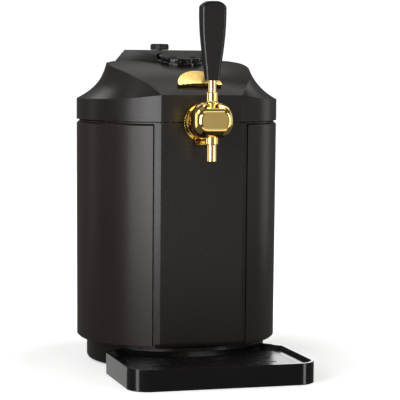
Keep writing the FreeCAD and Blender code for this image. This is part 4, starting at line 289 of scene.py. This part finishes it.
# How far tool lines are packed or drawn out along X, Y and Z, by the way the metal was worked
TURNED = (1, 12, 1)              # rings round an axis that points forward
EXTRUDED = (1, 1, 0.1)           # upright lines
BRUSHED_ROUND = (1, 1, 12)       # level lines
PLATED = (1, 1, 1)

MATERIALS = {
    # ABS moulded in a satin spark-eroded tool: a dull gloss with a very fine sandy break-up
    "housing": moulded_plastic("satin_abs_charcoal", "1D1816", "221D1B", 0.3, 1.1, 0.015),
    # ABS sprayed with metallic lacquer: a shade warmer and livelier than the housing round it
    "side_panel": lacquered_plastic("lacquered_abs_charcoal", "1E1715", "2C2421", 0.3),
    # ABS moulded with a slightly coarser grain: near black, with soft highlights
    "dark_plastic": moulded_plastic("grained_abs_black", "0F0E0D", "151312", 0.27, 1.3, 0.02),
    # ABS moulded in a smoother tool, so that it wipes clean: sharper highlights down its corners
    "tray_plastic": moulded_plastic("smooth_abs_black", "0D0C0C", "121111", 0.15, 1.3, 0.006, spread=0.03),
    # ABS moulded in a polished tool: mirrors its surroundings, broken by faint rubbing marks
    "gloss_black": polished_plastic("polished_abs_black", "0A0A0A", "111110", 0.06),
    # Smoked acrylic, cast and polished: almost black, with a clear second gloss on top
    "window": polished_plastic("smoked_acrylic", "060608", "0A0A0C", 0.04, Coat_Weight=0.5),
    # Rubber, moulded: matt, with a grey bloom
    "rubber": moulded_rubber("moulded_rubber_black", "17171A", "222225", 0.7),
    # Silicone, moulded: mid grey, with a slight waxy sheen
    "gasket": moulded_rubber("moulded_silicone_grey", "6B6B6D", "7C7C7E", 0.55),
    # Aluminium sheet, rolled up and brushed round: long soft highlights down the well
    "well_metal": worked_metal("brushed_aluminium", "C9CBCE", "DADBDD", 0.28, BRUSHED_ROUND),
    # Polyurethane foam, blown in place: pale straw yellow with open cells
    "foam": blown_foam("polyurethane_foam", "D6C79A", "E9DFBE"),
    # Polypropylene, moulded: a soft white with a waxy, lightly grained skin
    "white_plastic": moulded_plastic("moulded_polypropylene_white", "D9D9D6", "E6E6E4", 0.42, 1.4, 0.04),
    # Alumina, pressed and fired: clean white and close-grained
    "ceramic": fired_ceramic("fired_alumina", "E6E5E0", "F2F1EE"),
    # Aluminium, extruded: grey, with fine lines along the fins
    "heat_sink_metal": worked_metal("extruded_aluminium", "A9ABAE", "BFC1C4", 0.35, EXTRUDED),
    # Stainless steel, turned: bright, with fine rings
    "steel": worked_metal("turned_stainless_steel", "A8A9AA", "C4C5C6", 0.22, TURNED),
    # Steel, plated with black zinc: dark and slightly uneven
    "screw_steel": worked_metal("black_zinc_plated_steel", "3A3B3E", "57585C", 0.35, PLATED),
    # Brass, turned: yellow, with fine rings
    "brass": worked_metal("turned_brass", "B98F45", "D9B266", 0.24, TURNED),
    # Brass, polished and gold plated: a mirror with hardly a line left in it
    "gold_tap": worked_metal("polished_gold_plated_brass", "E0BB69", "F1D68C", 0.06, PLATED, depth_mm=0.002),
    # Aluminium, milled in steps and anodised gold: curved lines that catch the light one by one
    "grip_gold": stepped_metal("gold_anodised_aluminium", "D9B564", "EBCC80", 0.18, GRIP_CENTRE, 5.5),
    # Phenolic resin, pressed and tumbled: smooth and satin, with broad soft highlights
    "handle": moulded_plastic("satin_phenolic_black", "161413", "1B1918", 0.26, 1.5, 0.01, spread=0.03),
    # Glass-fibre board under green solder mask: green gloss with paler tracks
    "board": masked_board("solder_masked_board", "0F3D22", "2C6B3F"),
    # Polyethylene, extruded: milky, with a soft gloss
    "hose": moulded_plastic("extruded_polyethylene_hose", "C6CBCB", "DADEDE", 0.3, 2.0, 0.02),
    # Nitrile rubber, moulded: black and slightly greasy
    "seal": moulded_rubber("moulded_nitrile_seal", "101012", "1B1B1D", 0.6),
}


def finish_pieces():
    """Gives every piece the finish of its slot, except the tray, which is smoother than the other
    dark plastic."""
    for part in frame["record"]["subparts"]:
        slot = "tray_plastic" if part["node"] == "drip_tray" else part["material_slot"]
        piece = frame["nodes"][part["node"]]
        piece.data.materials.clear()
        piece.data.materials.append(MATERIALS[slot])


def stage_sheet(name, faces, material):
    """Sheet of the studio, from the corners of its faces. The camera sees it, but the dispenser
    neither mirrors it nor is shaded or lit by it."""
    mesh = bpy.data.meshes.new(name)
    form = bmesh.new()
    for face in faces:
        form.faces.new([form.verts.new(corner) for corner in face])
    bmesh.ops.remove_doubles(form, verts=form.verts, dist=MM)
    form.to_mesh(mesh)
    form.free()
    sheet = bpy.data.objects.new(name, mesh)
    bpy.context.scene.collection.objects.link(sheet)
    sheet.data.materials.append(material)
    sheet.visible_glossy = False
    sheet.visible_diffuse = False
    sheet.visible_shadow = False


def studio_ring(height):
    """Points of the studio's round wall at a height."""
    turns = [math.tau * i / STUDIO_SIDES for i in range(STUDIO_SIDES)]
    return [(STUDIO_R * math.cos(turn), STUDIO_R * math.sin(turn), height) for turn in turns]


def studio_floor():
    """Pale painted floor that takes the dispenser's shadow. It glows to plain white farther out, and
    glows less beside the dispenser: painted shade round it.
    """
    material, tree, shader, place = surface("matt_paint_white", IOR=1.45, Roughness=0.6,
                                            Emission_Color=(1, 1, 1, 1))
    tinted(tree, shader, clouds(tree, place, size_mm=300), "F4F4F4", "F8F8F8")
    distance = add(tree, "ShaderNodeVectorMath", {0: place}, operation="LENGTH").outputs["Value"]
    # painted shade: the floor's glow is weaker near the dispenser than farther out
    glow = add(tree, "ShaderNodeMapRange", {"Value": distance},
               {"From Min": GLOW_GROWS_FROM, "From Max": GLOW_GROWS_TO,
                "To Min": GLOW_NEAR, "To Max": GLOW_FAR})
    tree.links.new(glow.outputs["Result"], shader.inputs["Emission Strength"])
    stage_sheet("floor", [studio_ring(0)], material)


def studio_backdrop():
    """White glowing wall all round, far from the dispenser."""
    material = bpy.data.materials.new("lit_paper_white")
    material.use_nodes = True
    tree = material.node_tree
    tree.nodes.clear()
    glow = add(tree, "ShaderNodeEmission", {}, {"Strength": WALL_GLOW})
    add(tree, "ShaderNodeOutputMaterial", {"Surface": glow.outputs["Emission"]})
    low = studio_ring(WALL_FOOT)
    high = studio_ring(STUDIO_HEIGHT)
    walls = [(low[i - 1], low[i], high[i], high[i - 1]) for i in range(STUDIO_SIDES)]
    stage_sheet("backdrop", walls, material)


def softbox(name, place, aim, width, height, power):
    """Rectangular white light at a place, turned to a point. The camera doesn't see it."""
    light = bpy.data.lights.new(name, "AREA")
    light.shape = "RECTANGLE"
    light.size = width
    light.size_y = height
    light.energy = power
    lamp = bpy.data.objects.new(name, light)
    bpy.context.scene.collection.objects.link(lamp)
    lamp.location = place
    towards = Vector(aim) - Vector(place)
    lamp.rotation_euler = towards.to_track_quat("-Z", "Y").to_euler()
    lamp.visible_camera = False
    return lamp


def on_axis(height):
    """Point on the barrel's axis."""
    return Vector((0, AXIS_Y, height))


def around(angle, distance, height):
    """Point at an angle round the barrel's axis."""
    turn = math.radians(angle)
    return Vector((distance * math.sin(turn), AXIS_Y - distance * math.cos(turn), height))


def standing_softbox(name, angle, width, power):
    """Upright softbox on the floor, facing the barrel's axis."""
    height = STANDING_LIFT + STANDING_HEIGHT / 2
    place = around(angle, STANDING_DISTANCE, height)
    softbox(name, place, on_axis(height), width, STANDING_HEIGHT, power)


def hung_softbox(name, angle, elevation, width, depth, power):
    """Softbox hung round and above the dispenser, tilted towards its middle."""
    rise = math.radians(elevation)
    out = HANGING_DISTANCE * math.cos(rise)
    up = HANGING_DISTANCE * math.sin(rise)
    softbox(name, around(angle, out, AIM_HEIGHT + up), on_axis(AIM_HEIGHT), width, depth, power)


def floor_card():
    """White card on the floor in front of the dispenser, facing up."""
    place = around(FLOOR_CARD_ANGLE, FLOOR_CARD_DISTANCE, FLOOR_CARD_LIFT)
    softbox("floor_card", place, place + Vector((0, 0, 1)), FLOOR_CARD_SIZE, FLOOR_CARD_SIZE,
            FLOOR_CARD_POWER)


def studio_lights():
    """The softboxes that light the whole dispenser, in a faint warm surround."""
    for row in STANDING_LIGHTS:
        standing_softbox(*row)
    floor_card()
    for row in HUNG_LIGHTS:
        hung_softbox(*row)
    world = bpy.data.worlds.new("studio")
    world.use_nodes = True
    background = world.node_tree.nodes["Background"]
    background.inputs["Color"].default_value = linear(WORLD_HEX)
    background.inputs["Strength"].default_value = WORLD_STRENGTH
    bpy.context.scene.world = world
    bpy.context.scene.view_settings.view_transform = "Standard"


def mirrored_cards(group, pieces, cards):
    """Cards that only a group of pieces mirrors: rows of name, place, aim, width, height and power."""
    mirrors = bpy.data.collections.new(group)
    for name in pieces:
        mirrors.objects.link(frame["nodes"][name])
    for row in cards:
        softbox(*row).light_linking.receiver_collection = mirrors


def gold_cards():
    """Cards round the tap and over the grip, so that their gold has bright shapes to mirror."""
    pieces = ("tap_flange", "tap_body", "tap_spout", "tap_lever", "lid_grip")
    mirrored_cards("gold_pieces", pieces, (
        ("card_under_tap", (0.02, -0.38, 0.02), TAP_MIDDLE, 0.6, 0.22, 0.5),
        ("card_over_tap", (0, -0.62, 0.95), TAP_MIDDLE, 0.7, 0.45, 1.1),
        ("card_left_of_tap", (-0.75, 0.2, 0.32), TAP_MIDDLE, 0.4, 0.7, 1.3),
        ("card_right_of_tap", (0.8, -0.2, 0.32), TAP_MIDDLE, 0.35, 0.7, 0.7),
        ("strip_left_of_tap", (-0.8, -0.55, 0.32), TAP_MIDDLE, 0.12, 0.6, 1.6),
        ("strip_right_of_tap", (0.6, -0.75, 0.32), TAP_MIDDLE, 0.12, 0.6, 1.6),
        ("card_over_grip", (0.3, 0.3, 1.5), GRIP_CENTRE, 0.7, 0.7, 3.6)))


def tray_cards():
    """Cards for the tray's low walls, which mirror what would be below the floor, and one above the
    floor behind for the top of the tray and its grid."""
    under = -0.2
    above = 0.52
    mirrored_cards("tray_piece", ("drip_tray",), (
        ("strip_left_of_tray", around(-61, 1.2, under), on_axis(under), 0.32, 0.8, 2.6),
        ("strip_right_of_tray", around(43, 1.2, under), on_axis(under), 0.24, 0.8, 2.2),
        ("card_left_of_tray", around(-163, 1.2, under), on_axis(under), 0.5, 0.8, 0.6)))
    mirrored_cards("tray_and_grid", ("drip_tray", "drip_grid"), (
        ("card_right_behind", around(152, 1.3, above), on_axis(above), 0.7, 1.0, 5),))


def rear_cards():
    """Card straight behind, for the flat rear, which the other lights only graze."""
    pieces = ("rear_cover", "rear_screws", "fan_frame", "fan_rotor", "power_socket", "switch_frame",
              "power_rocker")
    mirrored_cards("rear_pieces", pieces, (
        ("card_behind", around(180, 1.4, 0.3), on_axis(AIM_HEIGHT), 1.0, 1.0, 6),))


def studio_camera():
    """Long lens, a little above the tap and to its left."""
    turn, pitch, roll = (math.radians(angle) for angle in (CAMERA_ANGLE, CAMERA_PITCH, CAMERA_ROLL))
    level = math.cos(pitch)
    back = Vector((math.sin(turn) * level, -math.cos(turn) * level, math.sin(pitch)))
    right = Vector((math.cos(turn), math.sin(turn), 0))
    up = back.cross(right)
    rolled = right * math.cos(roll) + up * math.sin(roll)
    raised = up * math.cos(roll) - right * math.sin(roll)
    facing = Matrix((rolled, raised, back)).transposed().to_4x4()
    data = bpy.data.cameras.new("camera")
    data.lens = CAMERA_LENS
    data.sensor_width = CAMERA_SENSOR
    camera = bpy.data.objects.new("camera", data)
    bpy.context.scene.collection.objects.link(camera)
    camera.matrix_world = Matrix.Translation(CAMERA_PLACE) @ facing
    bpy.context.scene.camera = camera


finish_pieces()
studio_floor()
studio_backdrop()
studio_lights()
gold_cards()
tray_cards()
rear_cards()
studio_camera()
